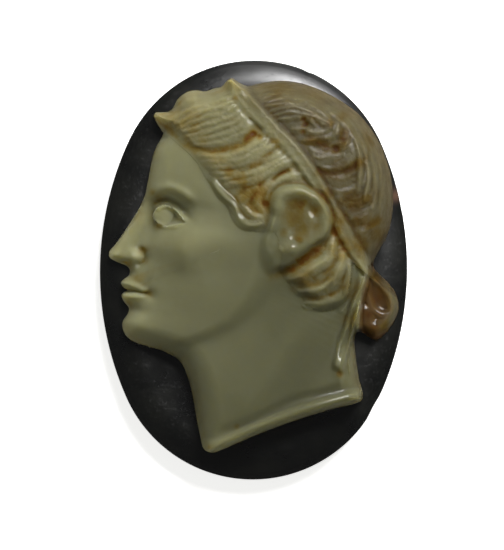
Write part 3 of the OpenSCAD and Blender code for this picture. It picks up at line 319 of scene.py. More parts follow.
# Deeper lines between the locks, browned along their length
# columns: half width, depth, amount of brown, points
GROOVES = (
    # under the roll over the forehead, under the temple wave, and a short slit
    (0.26, 0.08, 0.40, ((-5.1, 9.6), (-4.7, 8.9), (-3.8, 8.4), (-2.4, 8.4), (-1.1, 8.8), (-0.2, 9.6))),
    (0.20, 0.08, 0.25, ((-2.4, 7.1), (-1.0, 7.1), (0.4, 7.6), (1.5, 8.6))),
    (0.13, 0.18, 0.50, ((1.2, 6.3), (1.8, 6.8), (2.5, 7.1))),
    # in the crown
    (0.28, 0.04, 0.62, ((3.9, 9.2), (4.7, 8.9), (5.6, 8.6), (6.2, 9.0), (6.3, 9.7))),
    (0.26, 0.05, 0.56, ((4.6, 7.0), (5.5, 6.8), (6.5, 7.1), (7.4, 7.7))),
    (0.26, 0.05, 0.60, ((6.1, 5.0), (7.0, 4.7), (8.0, 5.1))),
    (0.24, 0.04, 0.60, ((7.2, 3.6), (7.9, 3.2), (8.8, 3.6))),
    (0.16, 0.10, 0.30, ((7.8, 9.8), (8.0, 8.6), (7.8, 7.6))),
    # under the ear and between the curls at the nape
    (0.34, 0.12, 0.30, ((5.3, 2.2), (4.6, 1.6), (3.6, 0.8), (2.7, 0.2), (1.9, -0.2), (1.3, -0.4))),
    (0.20, 0.12, 0.36, ((5.9, -0.1), (4.8, -0.8), (3.6, -1.2), (2.8, -1.3))),
    (0.18, 0.10, 0.28, ((6.6, -0.9), (5.9, -1.5), (4.7, -2.0), (3.8, -2.0))),
)
# Drill holes and pits: columns x, y, radius, depth
PITS = (
    (3.55, 10.30, 0.20, 0.16), (3.40, 10.70, 0.17, 0.14), (3.40, 9.85, 0.18, 0.14),
    (5.80, 8.55, 0.28, 0.18), (6.20, 10.90, 0.24, 0.12), (-0.10, 9.60, 0.20, 0.14),
    (0.32, 9.45, 0.16, 0.10), (0.70, 4.60, 0.26, 0.14), (5.95, 3.60, 0.28, 0.14),
    (-6.35, 10.55, 0.14, 0.08), (6.20, -7.20, 0.16, 0.12),
)
# Brown stains of the stone: columns x, y, radius, amount
STAINS = (
    # crown: dots beside the whirl, then broader clouds
    (3.5, 10.3, 0.28, 0.85), (3.4, 10.7, 0.24, 0.75), (3.4, 9.8, 0.24, 0.75), (5.7, 8.6, 0.34, 0.95),
    (6.2, 9.3, 0.34, 0.80), (5.3, 10.4, 0.34, 0.50), (6.2, 10.9, 0.40, 0.50), (6.9, 11.4, 0.40, 0.40),
    (4.7, 8.8, 0.90, 0.36), (4.0, 10.7, 0.80, 0.30), (6.0, 6.9, 1.10, 0.42), (5.8, 6.8, 0.50, 0.60),
    (6.8, 4.9, 0.90, 0.60), (7.6, 3.3, 0.90, 0.45), (8.8, 2.4, 0.80, 0.55), (1.6, 12.9, 1.60, 0.34),
    (4.2, 12.8, 1.20, 0.30), (8.0, 9.2, 0.60, 0.35), (8.6, 5.6, 0.80, 0.20), (7.4, 1.8, 0.90, 0.55),
    (5.9, 3.6, 0.80, 0.55),
    # front hair
    (-0.1, 9.6, 0.28, 0.80), (0.3, 9.4, 0.24, 0.70), (1.5, 9.1, 0.26, 0.45), (-5.5, 11.9, 0.32, 0.55),
    (-6.3, 10.8, 0.90, 0.45), (-5.0, 10.4, 1.30, 0.40), (-4.8, 9.2, 0.80, 0.40), (-3.6, 9.2, 0.90, 0.28),
    (-1.4, 12.1, 0.24, 0.50), (-2.6, 12.9, 0.60, 0.34), (-1.7, 13.4, 0.50, 0.30), (-2.6, 8.0, 0.90, 0.30),
    # behind the hairline
    (-0.7, 6.1, 0.44, 0.70), (0.3, 5.9, 0.36, 0.66), (0.8, 4.7, 0.30, 0.80), (-1.8, 6.9, 0.50, 0.50),
    (0.0, 5.2, 1.20, 0.72), (-0.9, 6.3, 0.90, 0.45), (0.3, 4.4, 0.50, 0.70),
    # ear
    (3.3, 4.5, 0.95, 0.62), (4.3, 4.3, 0.60, 0.55), (2.9, 3.7, 1.00, 0.55), (3.3, 2.9, 0.80, 0.50),
    (2.1, 2.7, 0.34, 0.62), (3.2, 2.2, 0.34, 0.62), (2.3, 1.5, 0.90, 0.18), (4.2, 3.2, 0.80, 0.34),
    # nape
    (3.5, 0.7, 0.70, 0.50), (2.9, 0.1, 0.70, 0.42), (3.6, -0.4, 0.90, 0.34), (5.8, 2.9, 0.60, 0.60),
    (6.2, 1.7, 0.90, 0.62), (5.0, 5.3, 0.80, 0.50), (6.0, 3.8, 0.90, 0.60), (5.6, -0.4, 0.70, 0.45),
    (7.0, -1.2, 0.80, 0.45),
    # bow and ribbon
    (8.7, -3.9, 0.45, 0.70), (8.2, -3.1, 0.34, 0.60), (9.4, -3.9, 0.50, 0.60), (9.0, -1.9, 0.60, 0.50),
    (6.9, -3.4, 0.70, 0.40), (6.2, -7.3, 0.24, 0.90),
    # cut of the neck
    (-1.1, -11.1, 0.22, 0.55), (-3.0, -12.6, 0.30, 0.34),
)

# Weaker stains in the hollows of the face: columns u, v in head heights, radius in mm, amount
FACE_STAINS = (
    # eye socket, inner end of the brow, bridge and wing of the nose
    (-0.045, 0.515, 0.50, 0.34), (-0.020, 0.535, 0.30, 0.40), (-0.060, 0.420, 0.40, 0.26),
    (0.020, 0.440, 0.90, 0.22), (-0.020, 0.325, 0.36, 0.38), (-0.034, 0.290, 0.34, 0.38),
    # nostril, corner of the mouth, under the lower lip
    (0.022, 0.268, 0.34, 0.44), (-0.068, 0.180, 0.44, 0.38), (0.000, 0.128, 0.50, 0.26),
    (-0.030, 0.222, 0.60, 0.22),
)

# Brown flaws of the dark ground: columns x, y, radius, amount
FLAWS = (
    (10.05, 5.45, 0.42, 1.0),
    (9.75, 5.85, 0.20, 0.8),
)
# Small chips of the rim: columns x, y, radius, depth
CHIPS = (
    (3.75, 14.35, 0.30, 0.05),
    (10.85, 4.70, 0.30, 0.06),
    (8.85, -9.75, 0.80, 0.10),
)

# Edge of the ear
EAR_EDGE = (
    (1.1, 3.9), (1.0, 4.9), (1.4, 5.7), (2.2, 6.1), (3.3, 6.1), (4.4, 5.6), (5.2, 4.8), (5.6, 3.7),
    (5.5, 2.8), (5.1, 2.2), (4.3, 1.6), (3.4, 0.8), (2.6, 0.2), (1.8, -0.2), (1.1, -0.3),
    (0.6, 0.3), (0.4, 1.2), (0.5, 2.1), (0.8, 2.9), (1.1, 3.9),
)
# Width over which the edge of the ear rises, and how much wider it is in front of the lobe
EAR_SLOPE = 0.55
EAR_FRONT_EASE = 1.2
# How far hair may lie under the ear, and the dip round its edge
EAR_BED = 0.15
EAR_DIP = 0.05
# Lines of the ear: outer rim, inner rim
# columns: half width, height, points
EAR_LINES = (
    (0.50, 0.30, ((1.6, 4.4), (1.8, 5.1), (2.4, 5.5), (3.3, 5.6), (4.3, 5.1), (4.9, 4.3),
        (5.1, 3.5), (4.8, 2.7), (4.0, 2.1), (3.1, 1.6), (2.2, 1.5))),
    (0.36, 0.09, ((3.6, 4.3), (4.0, 3.5), (3.8, 2.8), (3.4, 2.4))),
)
# Hollows and swellings of the ear: shell, upper hollow, its reach to the rim, flap in front, lobe
# columns: x, y, half width, half height, height
EAR_BUMPS = (
    (2.9, 3.3, 0.85, 1.15, -0.20),
    (3.3, 4.5, 0.90, 0.55, -0.14),
    (4.2, 4.2, 0.50, 0.45, -0.14),
    (1.3, 3.1, 0.30, 0.55, 0.16),
    (1.8, 1.0, 0.80, 0.90, 0.20),
)

# Share of the way to the hub, from the outline in, over which the rings of the grid lie closer
CLOSE_RINGS = 0.012
# Rounds of smoothing and depths in mm by which fine and broad hollows are found
FINE_ROUNDS = 12
FINE_DEPTH = 0.05
BROAD_ROUNDS = 120
BROAD_DEPTH = 0.35
# How much darker the bow is, and the painted shade on the hair that falls away to the ground
BOW_DARKER = 0.32
FALLING_HAIR_SHADE = 0.32

# Edge between girdle and shoulder in mm, and the rows of points of the shoulder
GIRDLE_EDGE = 0.12
SHOULDER_ROWS = 14

# Sizes of the patterns in the pale stone, as noise scales
PALE_CLOUDS = 260
PALE_MOTTLE = 900
PALE_GRAIN = 5200
PALE_UNEVEN = 2000
# How far red, green and blue light spread, as shares of the translucency
LIGHT_SPREAD = (1.0, 0.9, 0.55)
STONE_IOR = 1.54
# Polish: on the skin, on the hair, and as shares of that at the back and in stains
SKIN_POLISH = 0.42
HAIR_POLISH = 0.20
BACK_POLISH = 0.45
STAIN_POLISH = 0.15
# Painted light and shade of the layer: paler towards the face and towards the top, darker towards the back of
# the neck and the bottom; start, end in metres, its values there
FACE_PAINTED_LIGHT = (-0.008, 0.004, 0.38, -0.24)
TOP_PAINTED_LIGHT = (-0.013, 0.010, 0.79, 1.10)
# Sizes of the patterns in the dark stone, as noise scales, and the turn of its scratches
DARK_CLOUDS = 330
DARK_SPECKS = 4200
DARK_SCRATCHES = 5000
SCRATCH_TURN = math.radians(38)

# Lights: name, degrees to the right of +Y, degrees up, distance, width and height in metres, power
LIGHTS = (
    ("key", 26, 51, 0.18, 0.085, 0.070, "key_power"),
    ("low", 16, 20, 0.30, 0.34, 0.12, "low_power"),
    ("left", -85, 40, 0.40, 0.30, 0.16, "side_power"),
)
# Size of the photograph's frame, and how much of the part it shows
FRAME_PIXELS = (504, 550)
PIXELS_PER_MM = 14.0
# Place of the part under the middle of the frame, in mm
FRAME_MIDDLE = (-0.107, -0.357)
SENSOR = 36.0


# Shapes of the carving
def ease(x):
    x = np.clip(x, 0, 1)
    return x * x * (3 - 2 * x)


def bell(x):
    return np.exp(-x * x)


def spot(x, y, cx, cy, radius):
    """Round spot that is 1 in its middle and fades over its radius."""
    return bell(np.hypot(x - cx, y - cy) / radius)


def dome(q):
    return np.sqrt(np.clip(1 - q * q, 0, 1))


def soft_max(a, b, width):
    return 0.5 * (a + b + np.sqrt((a - b) ** 2 + width * width))


def place(u, v):
    """Plan place of a point given in head heights."""
    return CHIN + HEAD * (u * FORWARD + v * UPWARD)


def spline(points, steps, closed=False):
    """Curve through the points, with so many steps in each span."""
    p = np.array(points, float)
    p = np.vstack([p[-1], p, p[0], p[1]]) if closed else np.vstack([2 * p[0] - p[1], p, 2 * p[-1] - p[-2]])
    t = (np.arange(steps) / steps)[:, None]
    rows = []
    for a, b, c, d in zip(p, p[1:], p[2:], p[3:]):
        rows.append(0.5 * (2 * b + (c - a) * t + (2 * a - 5 * b + 4 * c - d) * t ** 2
                           + (3 * b - a - 3 * c + d) * t ** 3))
    return np.vstack(rows if closed else rows + [p[-2]])


def nearest(x, y, p, q):
    """Share of the way from p to q at which each point is nearest, and its offset from there."""
    dx, dy = q[0] - p[0], q[1] - p[1]
    t = np.clip(((x - p[0]) * dx + (y - p[1]) * dy) / (dx * dx + dy * dy), 0, 1)
    return t, x - p[0] - t * dx, y - p[1] - t * dy


class Line:
    """A curve on the plan, for the distances of points to it."""

    def __init__(self, points, steps=6):
        self.p = spline(points, steps)
        self.seg = np.hypot(*(self.p[1:] - self.p[:-1]).T)
        self.run = np.concatenate([[0], np.cumsum(self.seg)])

    def near(self, x, y, reach):
        """Numbers of the points in the curve's box, widened by this reach."""
        low, high = self.p.min(0) - reach, self.p.max(0) + reach
        return np.flatnonzero((x > low[0]) & (x < high[0]) & (y > low[1]) & (y < high[1]))

    def along(self, x, y):
        """Distance, above 0 to the left of the curve, and share of its length."""
        best = np.full(x.shape, 1e9)
        side = np.ones(x.shape)
        share = np.zeros(x.shape)
        for k, (p, q) in enumerate(zip(self.p, self.p[1:])):
            t, ex, ey = nearest(x, y, p, q)
            d = ex * ex + ey * ey
            m = d < best
            best[m] = d[m]
            side[m] = np.sign((q[0] - p[0]) * ey - (q[1] - p[1]) * ex)[m]
            share[m] = ((self.run[k] + t * self.seg[k]) / self.run[-1])[m]
        return np.sqrt(best) * side, share


def inside(x, y, ring):
    """Which points lie in a closed ring."""
    found = np.zeros(x.shape, bool)
    for p, q in zip(ring, np.roll(ring, -1, axis=0)):
        if p[1] != q[1]:
            crosses = (p[1] > y) != (q[1] > y)
            found ^= crosses & (x < (q[0] - p[0]) * (y - p[1]) / (q[1] - p[1]) + p[0])
    return found


def depth_in(x, y, line):
    """Distance of points to a closed line, above 0 inside it."""
    away = np.abs(line.along(x, y)[0])
    return np.where(inside(x, y, line.p), away, -away)


def stroke(z, x, y, points, width, height, start=0.2, end=0.2, power=2):
    """Adds a soft ridge, or a groove where the height is below 0, that fades over its ends."""
    line = Line(points)
    i = line.near(x, y, width * 3)
    d, s = line.along(x[i], y[i])
    z[i] += height * np.exp(-np.abs(d / width) ** power) * ease(s / start + 0.15) * ease((1 - s) / end + 0.15)


def swellings(z, rows, a, b):
    """Adds round swellings, or hollows where their height is below 0."""
    for ca, cb, ra, rb, height in rows:
        z += height * bell(np.hypot((a - ca) / ra, (b - cb) / rb))


def strongest(spots, x, y, rows):
    """Raises spots to the amounts of the round spots that reach them."""
    for cx, cy, radius, amount in rows:
        np.maximum(spots, amount * spot(x, y, cx, cy, radius), out=spots)


def drawn(x, xs, ys):
    """Spans of a smooth curve through a table whose rows belong to xs: number, length, share, slopes."""
    xs = np.asarray(xs, float)
    wide = (-1,) + (1,) * (ys.ndim - 1)
    m = np.empty_like(ys)
    m[1:-1] = (ys[2:] - ys[:-2]) / (xs[2:] - xs[:-2]).reshape(wide)
    m[0] = (ys[1] - ys[0]) / (xs[1] - xs[0])
    m[-1] = (ys[-1] - ys[-2]) / (xs[-1] - xs[-2])
    i = np.clip(np.searchsorted(xs, x) - 1, 0, len(xs) - 2)
    h = xs[i + 1] - xs[i]
    return i, h, np.clip((x - xs[i]) / h, 0, 1), m


def hermite(t, h, a, ma, b, mb):
    return ((2 * t ** 3 - 3 * t ** 2 + 1) * a + (t ** 3 - 2 * t ** 2 + t) * h * ma
            + (3 * t ** 2 - 2 * t ** 3) * b + (t ** 3 - t ** 2) * h * mb)


def face_height(u, v):
    """Height of the face from its table of levels."""
    levels = np.array([row[0] for row in FACE_LEVELS])
    table = np.array([row[1] for row in FACE_LEVELS]).T
    i, h, t, m = drawn(-u, FACE_DEPTHS, table)
    rows = hermite(t[:, None], h[:, None], table[i], m[i], table[i + 1], m[i + 1]).T
    i, h, t, m = drawn(v, levels, rows)
    n = np.arange(len(v))
    return hermite(t, h, rows[i, n], m[i, n], rows[i + 1, n], m[i + 1, n])


def eye(z, x, y, u, v):
    """Sets the ball of the eye between the eyelids."""
    lid, low = ([place(*q) for q in FACE_LINES[k][4]] for k in (0, 1))
    front = [place(*q) for q in EYE_FRONT]
    opening = inside(x, y, np.vstack([spline(lid, 6), spline(low, 6)[::-1], spline(front, 6)[::-1]]))
    reach = np.hypot((u - EYE_MIDDLE[0]) / EYE_HALF[0], (v - EYE_MIDDLE[1]) / EYE_HALF[1])
    return np.where(opening, np.maximum(z - EYE_SINK, EYE_RISE + EYE_DOME * dome(reach)), z)


def skin(x, y, settings):
    """Face, skull and neck in one smooth form."""
    u = ((x - CHIN[0]) * FORWARD[0] + (y - CHIN[1]) * FORWARD[1]) / HEAD
    v = ((x - CHIN[0]) * UPWARD[0] + (y - CHIN[1]) * UPWARD[1]) / HEAD
    share = ease((-u - SKULL_START) / SKULL_BLEND)
    far = ((u - SKULL_MIDDLE[0]) / SKULL_HALF[0]) ** 2 + ((v - SKULL_MIDDLE[1]) / SKULL_HALF[1]) ** 2
    head = share * (settings.skull_rise / MM - SKULL_FALL * far) + (1 - share) * face_height(u, v)
    away, along = Line([place(*q) for q in JAW], 8).along(x, y)
    step = JAW_STEP - JAW_STEP_LOSS * ease((along - 0.35) / 0.5)
    under = (JAW_INSET[0] + JAW_INSET[1] * along - away) / (JAW_SLOPE[0] + JAW_SLOPE[1] * along)
    head -= step * ease(under) * ease((1 - along) / JAW_FADE)
    across = Line(NECK).along(x, y)[0]
    neck = settings.neck_rise / MM - NECK_FALL * (across / NECK_HALF) ** 2
    neck -= NECK_DROP * ease((NECK_DROP_START - y) / NECK_DROP_LENGTH)
    z = eye(soft_max(head, neck, HEAD_NECK_BLEND), x, y, u, v)
    for width, height, start, end, points in FACE_LINES:
        stroke(z, x, y, [place(*q) for q in points], width, height, start, end)
    swellings(z, FACE_BUMPS, u, v)
    for width, height, start, end, power, points in NECK_LINES:
        stroke(z, x, y, points, width, height, start, end, power)
    return z


def locks():
    """Each lock of the groups in turn: points, half width, height, strands."""
    for first, last, count, width, height, strands in LOCKS:
        first, last = np.array(first), np.array(last or first)
        for k in range(count):
            share = k / max(count - 1, 1)
            yield first + share * (last - first), width, height, strands


def lay_locks(x, y, base, settings):
    """Lays the locks on the mass of the hair: rounded strips that waver, with fine strands in them."""
    top = base.copy()
    for n, (points, width, height, strands) in enumerate(locks()):
        line = Line(points, 8)
        i = line.near(x, y, width)
        d, s = line.along(x[i], y[i])
        d += LOCK_WAVER * np.sin(s * 9 + 2.1 * n)
        q = d / (width * (0.7 + 0.3 * ease(s / 0.3)) * (0.75 + 0.25 * ease((1 - s) / 0.25)))
        ok = np.abs(q) < 1
        i, q, s = i[ok], q[ok], s[ok]
        body = 1 - q * q
        fade = ease(s / LOCK_START + 0.35) * (0.75 + 0.25 * ease((1 - s) / 0.2))
        wave = 0.16 * np.sin(s * 7 + 1.7 * n) + 0.07 * np.sin(s * 23 + 2.9 * n)
        between = 0.5 - 0.5 * np.cos(2 * math.pi * (q * 0.5 * strands + wave))
        depth = settings.strand_depth / MM * min(1, height / STRAND_LOCK)
        depth = depth * (0.7 + 0.3 * np.sin(s * 11 + 2.3 * n))
        rise = settings.lock_fullness * height * body * fade
        lock = base[i] + rise - depth * between * np.sqrt(body) * ease(s / LOCK_START)
        top[i] = soft_max(top[i], lock, LOCK_BLEND)
    return top


def press_band(z, x, y, mass, settings):
    """Presses the flat band into the hair. Gives the share of each point that lies behind it."""
    line = Line(BAND, 8)
    behind = ease(0.5 + line.along(x, y)[0] / 1.2)
    i = line.near(x, y, 2)
    d, s = line.along(x[i], y[i])
    d = np.abs(d)
    front, back = settings.band_half_width / MM, settings.band_back_half_width / MM
    half = front - (front - back) * ease((s - 0.1) / 0.3)
    cross = ease((half + BAND_GAP - d) / BAND_SLOPE)
    lip = BAND_LIP * bell((d - half * 0.7) / BAND_GAP)
    z[i] -= BAND_DIP * bell((d - half - BAND_GAP) / BAND_DIP_WIDTH)
    z[i] = z[i] * (1 - cross) + (mass[i] + settings.band_rise / MM + lip) * cross
    return behind


def hair(x, y, z, settings):
    """Mass of the hair over the skin, its locks, and the band pressed into it."""
    line = Line(HAIRLINE, 4)
    in_hair = inside(x, y, np.vstack([line.p, HAIR_CORNERS]))
    away = np.abs(line.along(x, y)[0])
    deep = np.where(in_hair, ease((away + 0.1) / HAIR_SLOPE), 0)
    mass = z + settings.hair_rise / MM * deep - HAIRLINE_DIP * bell(away / 0.4) * ~in_hair
    z = mass
    for cx, cy, across, upward, lean, height in ROLLS:
        c, s = math.cos(math.radians(lean)), math.sin(math.radians(lean))
        a, b = ((x - cx) * c + (y - cy) * s) / across, ((y - cy) * c - (x - cx) * s) / upward
        z = z + height * bell(np.hypot(a, b) ** 1.5) * deep
    z = lay_locks(x, y, z - LOCK_BED * deep, settings)
    for width, depth, brown, points in GROOVES:
        stroke(z, x, y, points, width, -depth)
    for cx, cy, radius, depth in PITS:
        z -= depth * spot(x, y, cx, cy, radius)
    behind = press_band(z, x, y, mass, settings)
    return z, deep, deep * behind


def ear(x, y, z, settings):
    """Ear over the side of the head and the hair."""
    edge = Line(EAR_EDGE)
    i = edge.near(x, y, 1.0)
    xx, yy = x[i], y[i]
    away = depth_in(xx, yy, edge)
    slope = EAR_SLOPE * (1 + EAR_FRONT_EASE * ease((2.5 - yy) / 2) * ease((2.6 - xx) / 1.5))
    form = settings.ear_rise / MM * ease(away / slope + 0.2)
    for width, height, points in EAR_LINES:
        form += height * bell(Line(points).along(xx, yy)[0] / width)
    swellings(form, EAR_BUMPS, xx, yy)
    blend = ease(away / slope + 0.6)
    bed = np.minimum(z[i], skin(xx, yy, settings) + EAR_BED)
    z[i] = (z[i] - EAR_DIP * bell(away / 0.35)) * (1 - blend) + (bed + form) * blend
    on_ear = np.zeros(z.shape)
    on_ear[i] = blend
    return z, on_ear


def bow(x, y, z, settings):
    """Loop of the bow beside the neck, the knot and the hanging ends of the ribbon."""
    away = depth_in(x, y, Line(BOW))
    on_bow = np.where(x > BOW_FREE, ease(away / 0.1 + 5), ease(away / 0.5 + 0.5))
    form = np.full(x.shape, BOW_FLOOR)
    for width, height, points in BOW_FOLDS:
        q = Line(points).along(x, y)[0] / width
        form = soft_max(form, BOW_FLOOR + height * (1.6 * bell(q) - 0.6 * bell(1.7 * q)), 0.10)
    rim = bell(Line(BOW_FOLDS[0][2]).along(x, y)[0] / BOW_FOLDS[0][0])
    z = z * (1 - on_bow) + form * on_bow
    z = np.maximum(z, KNOT_RISE * dome(np.hypot((x - KNOT[0]) / KNOT_HALF[0], (y - KNOT[1]) / KNOT_HALF[1])))
    for narrow, wide, points in RIBBON_ENDS:
        d, s = Line(points, 8).along(x, y)
        q = d / (narrow + (wide - narrow) * ease(s / 0.7))
        flat = ease((1 - np.abs(q)) / 0.6) * ease((1 - s) / 0.08 + 0.1)
        fold = RIBBON_FOLD * np.cos(q * math.pi * 1.3 + s * 6) + RIBBON_CREASE * np.sin(s * 24)
        on_neck = ease((z - 1.2) / 0.6)
        z = z + on_neck * flat * (settings.ribbon_rise / MM + fold) * ease(s / 0.12 + 0.3)
    return z, on_bow, rim


def rim_distance(x, y, oval):
    """Distance of plan points from the rim of the oval, inwards, in mm."""
    x, y = np.abs(x), np.abs(y)
    end = oval["end_radius"] - np.hypot(x, y - oval["end_centre"])
    side = oval["side_radius"] - np.hypot(x + oval["side_centre"], y)
    return np.where(np.arctan2(y - oval["end_centre"], x) > oval["join"], end, side)


def oval_of(settings):
    """Four arcs of the oval ground, two round ends and two long sides, and its shoulder, in mm."""
    half_w, half_l = settings.width / 2 / MM, settings.length / 2 / MM
    end = settings.end_radius / MM
    c = half_l - end
    side = (half_w ** 2 + c ** 2 - end ** 2) / (2 * (half_w - end))
    return {"end_radius": end, "end_centre": c, "side_radius": side, "side_centre": side - half_w,
            "join": math.atan2(c, side - half_w), "shoulder": settings.shoulder_width / MM,
            "drop": settings.shoulder_drop / MM, "top": settings.top / MM}


def shoulder_height(inset, oval):
    """Height of the ground at this distance from its rim."""
    w, drop = oval["shoulder"], oval["drop"]
    r = (w * w + drop * drop) / (2 * drop)
    s = np.clip(w - inset, 0, w)
    return oval["top"] - r + np.sqrt(r * r - s * s)


def oval_points(turn, oval, inset):
    """Plan points of the oval, moved inwards, on the rays from its middle at these angles."""
    cx, sy = np.cos(turn), np.sin(turn)
    r = oval["end_radius"] - inset
    b = -np.abs(sy) * oval["end_centre"]
    end = -b + np.sqrt(b * b - oval["end_centre"] ** 2 + r * r)
    up = np.arctan2(np.abs(sy) * end - oval["end_centre"], np.abs(cx) * end)
    r = oval["side_radius"] - inset
    b = np.abs(cx) * oval["side_centre"]
    side = -b + np.sqrt(b * b - oval["side_centre"] ** 2 + r * r)
    reach = np.where(up > oval["join"], end, side)
    return np.stack([reach * cx, reach * sy], axis=1)


def deselect():
    bpy.ops.object.select_all(action="DESELECT")


def mode(name):
    bpy.ops.object.mode_set(mode=name)


def coordinates(obj):
    co = np.empty(len(obj.data.vertices) * 3)
    obj.data.vertices.foreach_get("co", co)
    return co.reshape(-1, 3)


def set_coordinates(obj, co):
    obj.data.vertices.foreach_set("co", np.ascontiguousarray(co, np.float64).ravel())
    obj.data.update()


def add_attribute(obj, name, values):
    layer = obj.data.attributes.new(name, "FLOAT", "POINT")
    layer.data.foreach_set("value", np.asarray(values, np.float32))


def face_outwards(obj):
    """Recalculates the normals outwards and stops if the mesh has an open edge."""
    mesh = bmesh.new()
    mesh.from_mesh(obj.data)
    bmesh.ops.recalc_face_normals(mesh, faces=mesh.faces)
    open_edges = sum(len(edge.link_faces) != 2 for edge in mesh.edges)
    mesh.to_mesh(obj.data)
    mesh.free()
    if open_edges:
        raise RuntimeError(f"{obj.name} has {open_edges} open edges")


def finish_mesh(obj, material, angle):
    """Turns the faces of a closed mesh outwards, gives them their material and smooths them."""
    face_outwards(obj)
    obj.data.materials.append(material)
    deselect()
    obj.select_set(True)
    bpy.ops.object.shade_smooth_by_angle(angle=math.radians(angle))


# Nodes of the materials
def fill(tree, made, values):
    """Links sockets of a node to others, or sets their numbers, vectors and colours."""
    for name, value in values.items():
        socket = made.inputs[name]
        if isinstance(value, bpy.types.NodeSocket):
            tree.links.new(value, socket)
        else:
            socket.default_value = (*value, 1) if socket.type == "RGBA" else value


def make(tree, kind, output, values, **options):
    """Adds a node with these inputs and options, and gives one of its outputs."""
    made = tree.nodes.new(kind)
    for name, value in options.items():
        setattr(made, name, value)
    fill(tree, made, values)
    return made.outputs[output]


def noise(tree, coordinate, scale, detail, roughness):
    values = {"Vector": coordinate, "Scale": scale, "Detail": detail, "Roughness": roughness}
    return make(tree, "ShaderNodeTexNoise", "Fac", values)


def ramp(tree, factor, low, high, to_low=0.0, to_high=1.0):
    values = {"Value": factor, "From Min": low, "From Max": high, "To Min": to_low, "To Max": to_high}
    return make(tree, "ShaderNodeMapRange", "Result", values, interpolation_type="SMOOTHSTEP")


def mix(tree, factor, a, b, blend="MIX"):
    values = {"Factor": factor, "A": a, "B": b}
    return make(tree, "ShaderNodeMix", "Result", values, data_type="RGBA", blend_type=blend)


def reckon(tree, operation, a, b, clamp=False):
    return make(tree, "ShaderNodeMath", 0, {0: a, 1: b}, operation=operation, use_clamp=clamp)


def times(tree, a, b, clamp=False):
    return reckon(tree, "MULTIPLY", a, b, clamp)


def plus(tree, a, b, clamp=False):
    return reckon(tree, "ADD", a, b, clamp)


def attribute(tree, name):
    return make(tree, "ShaderNodeAttribute", "Fac", {}, attribute_name=name)


def bump(tree, height, distance):
    values = {"Height": height, "Strength": 1.0, "Distance": distance}
    return make(tree, "ShaderNodeBump", "Normal", values)


def new_material(name):
    material = bpy.data.materials.new(name)
    material.use_nodes = True
    tree = material.node_tree
    return material, tree, tree.nodes["Principled BSDF"], make(tree, "ShaderNodeTexCoord", "Object", {})


def stone_colour(tree, settings, mottle, clouds, stain):
    """Colour of the pale stone: clouds, warmer hair, browner back hair, stains, thin edges with painted
    shade, bow.
    """
    hair_share, back = attribute(tree, "hair"), attribute(tree, "back")
    colour = mix(tree, ramp(tree, clouds, 0.35, 0.65), settings.skin_colour, settings.cloud_colour)
    warm = times(tree, hair_share, ramp(tree, mottle, 0.35, 0.65, 0.6, 1.0))
    colour = mix(tree, warm, colour, settings.hair_colour)
    # Back hair browner and darker
    browner_back = times(tree, back, ramp(tree, mottle, 0.35, 0.65, 0.85, 1.0))
    colour = mix(tree, browner_back, colour, settings.back_colour)
    for share, tint in ((ramp(tree, stain, 0, 0.6), settings.ochre_tint),
                        (ramp(tree, stain, 0.5, 1.0), settings.rust_tint),
                        # Thin edges: pinkish brown cast with painted shade
                        (attribute(tree, "thin"), settings.edge_tint_and_shade),
                        (attribute(tree, "ribbon"), settings.bow_tint)):
        colour = mix(tree, share, colour, tint, "MULTIPLY")
    return colour


def painted_light_and_tone(tree, where):
    """Painted light and shade of the layer: paler towards the face and the top of the head, darker towards
    the back of the neck and the bottom, times the strand shading and tone.
    """
    across = make(tree, "ShaderNodeSeparateXYZ", "X", {0: where})
    along = make(tree, "ShaderNodeSeparateXYZ", "Y", {0: where})
    bare = reckon(tree, "SUBTRACT", 1.0, attribute(tree, "hair"))
    # Painted light towards the face and painted shade towards the back of the neck, on bare skin
    face = times(tree, ramp(tree, across, *FACE_PAINTED_LIGHT), bare)
    # Painted light towards the top of the head and painted shade towards the bottom
    up = times(tree, ramp(tree, along, *TOP_PAINTED_LIGHT), plus(tree, face, 1.0))
    return times(tree, up, attribute(tree, "tone"))


def pale_stone(settings):
    """Translucent grey-green stone, browned in its hollows, pinkish brown with painted shade along its thin
    edges, and with painted light and shade over its colour.
    """
    material, tree, shader, where = new_material("pale_stone")
    clouds = noise(tree, where, PALE_CLOUDS, 3, 0.5)
    mottle = noise(tree, where, PALE_MOTTLE, 4, 0.6)
    grain = noise(tree, where, PALE_GRAIN, 3, 0.6)
    stain = times(tree, attribute(tree, "stain"), ramp(tree, mottle, 0.30, 0.60, 0.6, 1.3), True)
    colour = stone_colour(tree, settings, mottle, clouds, stain)
    polish = times(tree, ramp(tree, attribute(tree, "hair"), 0, 1, SKIN_POLISH, HAIR_POLISH),
                   ramp(tree, attribute(tree, "back"), 0, 1, 1.0, BACK_POLISH))
    share = plus(tree, times(tree, attribute(tree, "uneven"), 0.8), 0.03)
    uneven = times(tree, noise(tree, where, PALE_UNEVEN, 1.5, 0.5), share)
    fill(tree, shader, {
        # Base colour scaled by the painted light and shade of the layer
        "Base Color": make(tree, "ShaderNodeVectorMath", 0, {0: colour, "Scale": painted_light_and_tone(tree, where)},
                           operation="SCALE"),
        "Roughness": ramp(tree, mottle, 0.3, 0.7, settings.gloss_low, settings.gloss_high),
        "Subsurface Weight": 1.0,
        "Subsurface Radius": LIGHT_SPREAD,
        "Subsurface Scale": settings.translucency,
        "IOR": STONE_IOR,
        "Specular IOR Level": 0.05,
        "Coat Weight": times(tree, polish, ramp(tree, stain, 0, 0.7, 1.0, STAIN_POLISH)),
        "Coat Roughness": 0.11,
        "Normal": bump(tree, plus(tree, uneven, times(tree, grain, 0.02)), settings.unevenness),
    })
    return material


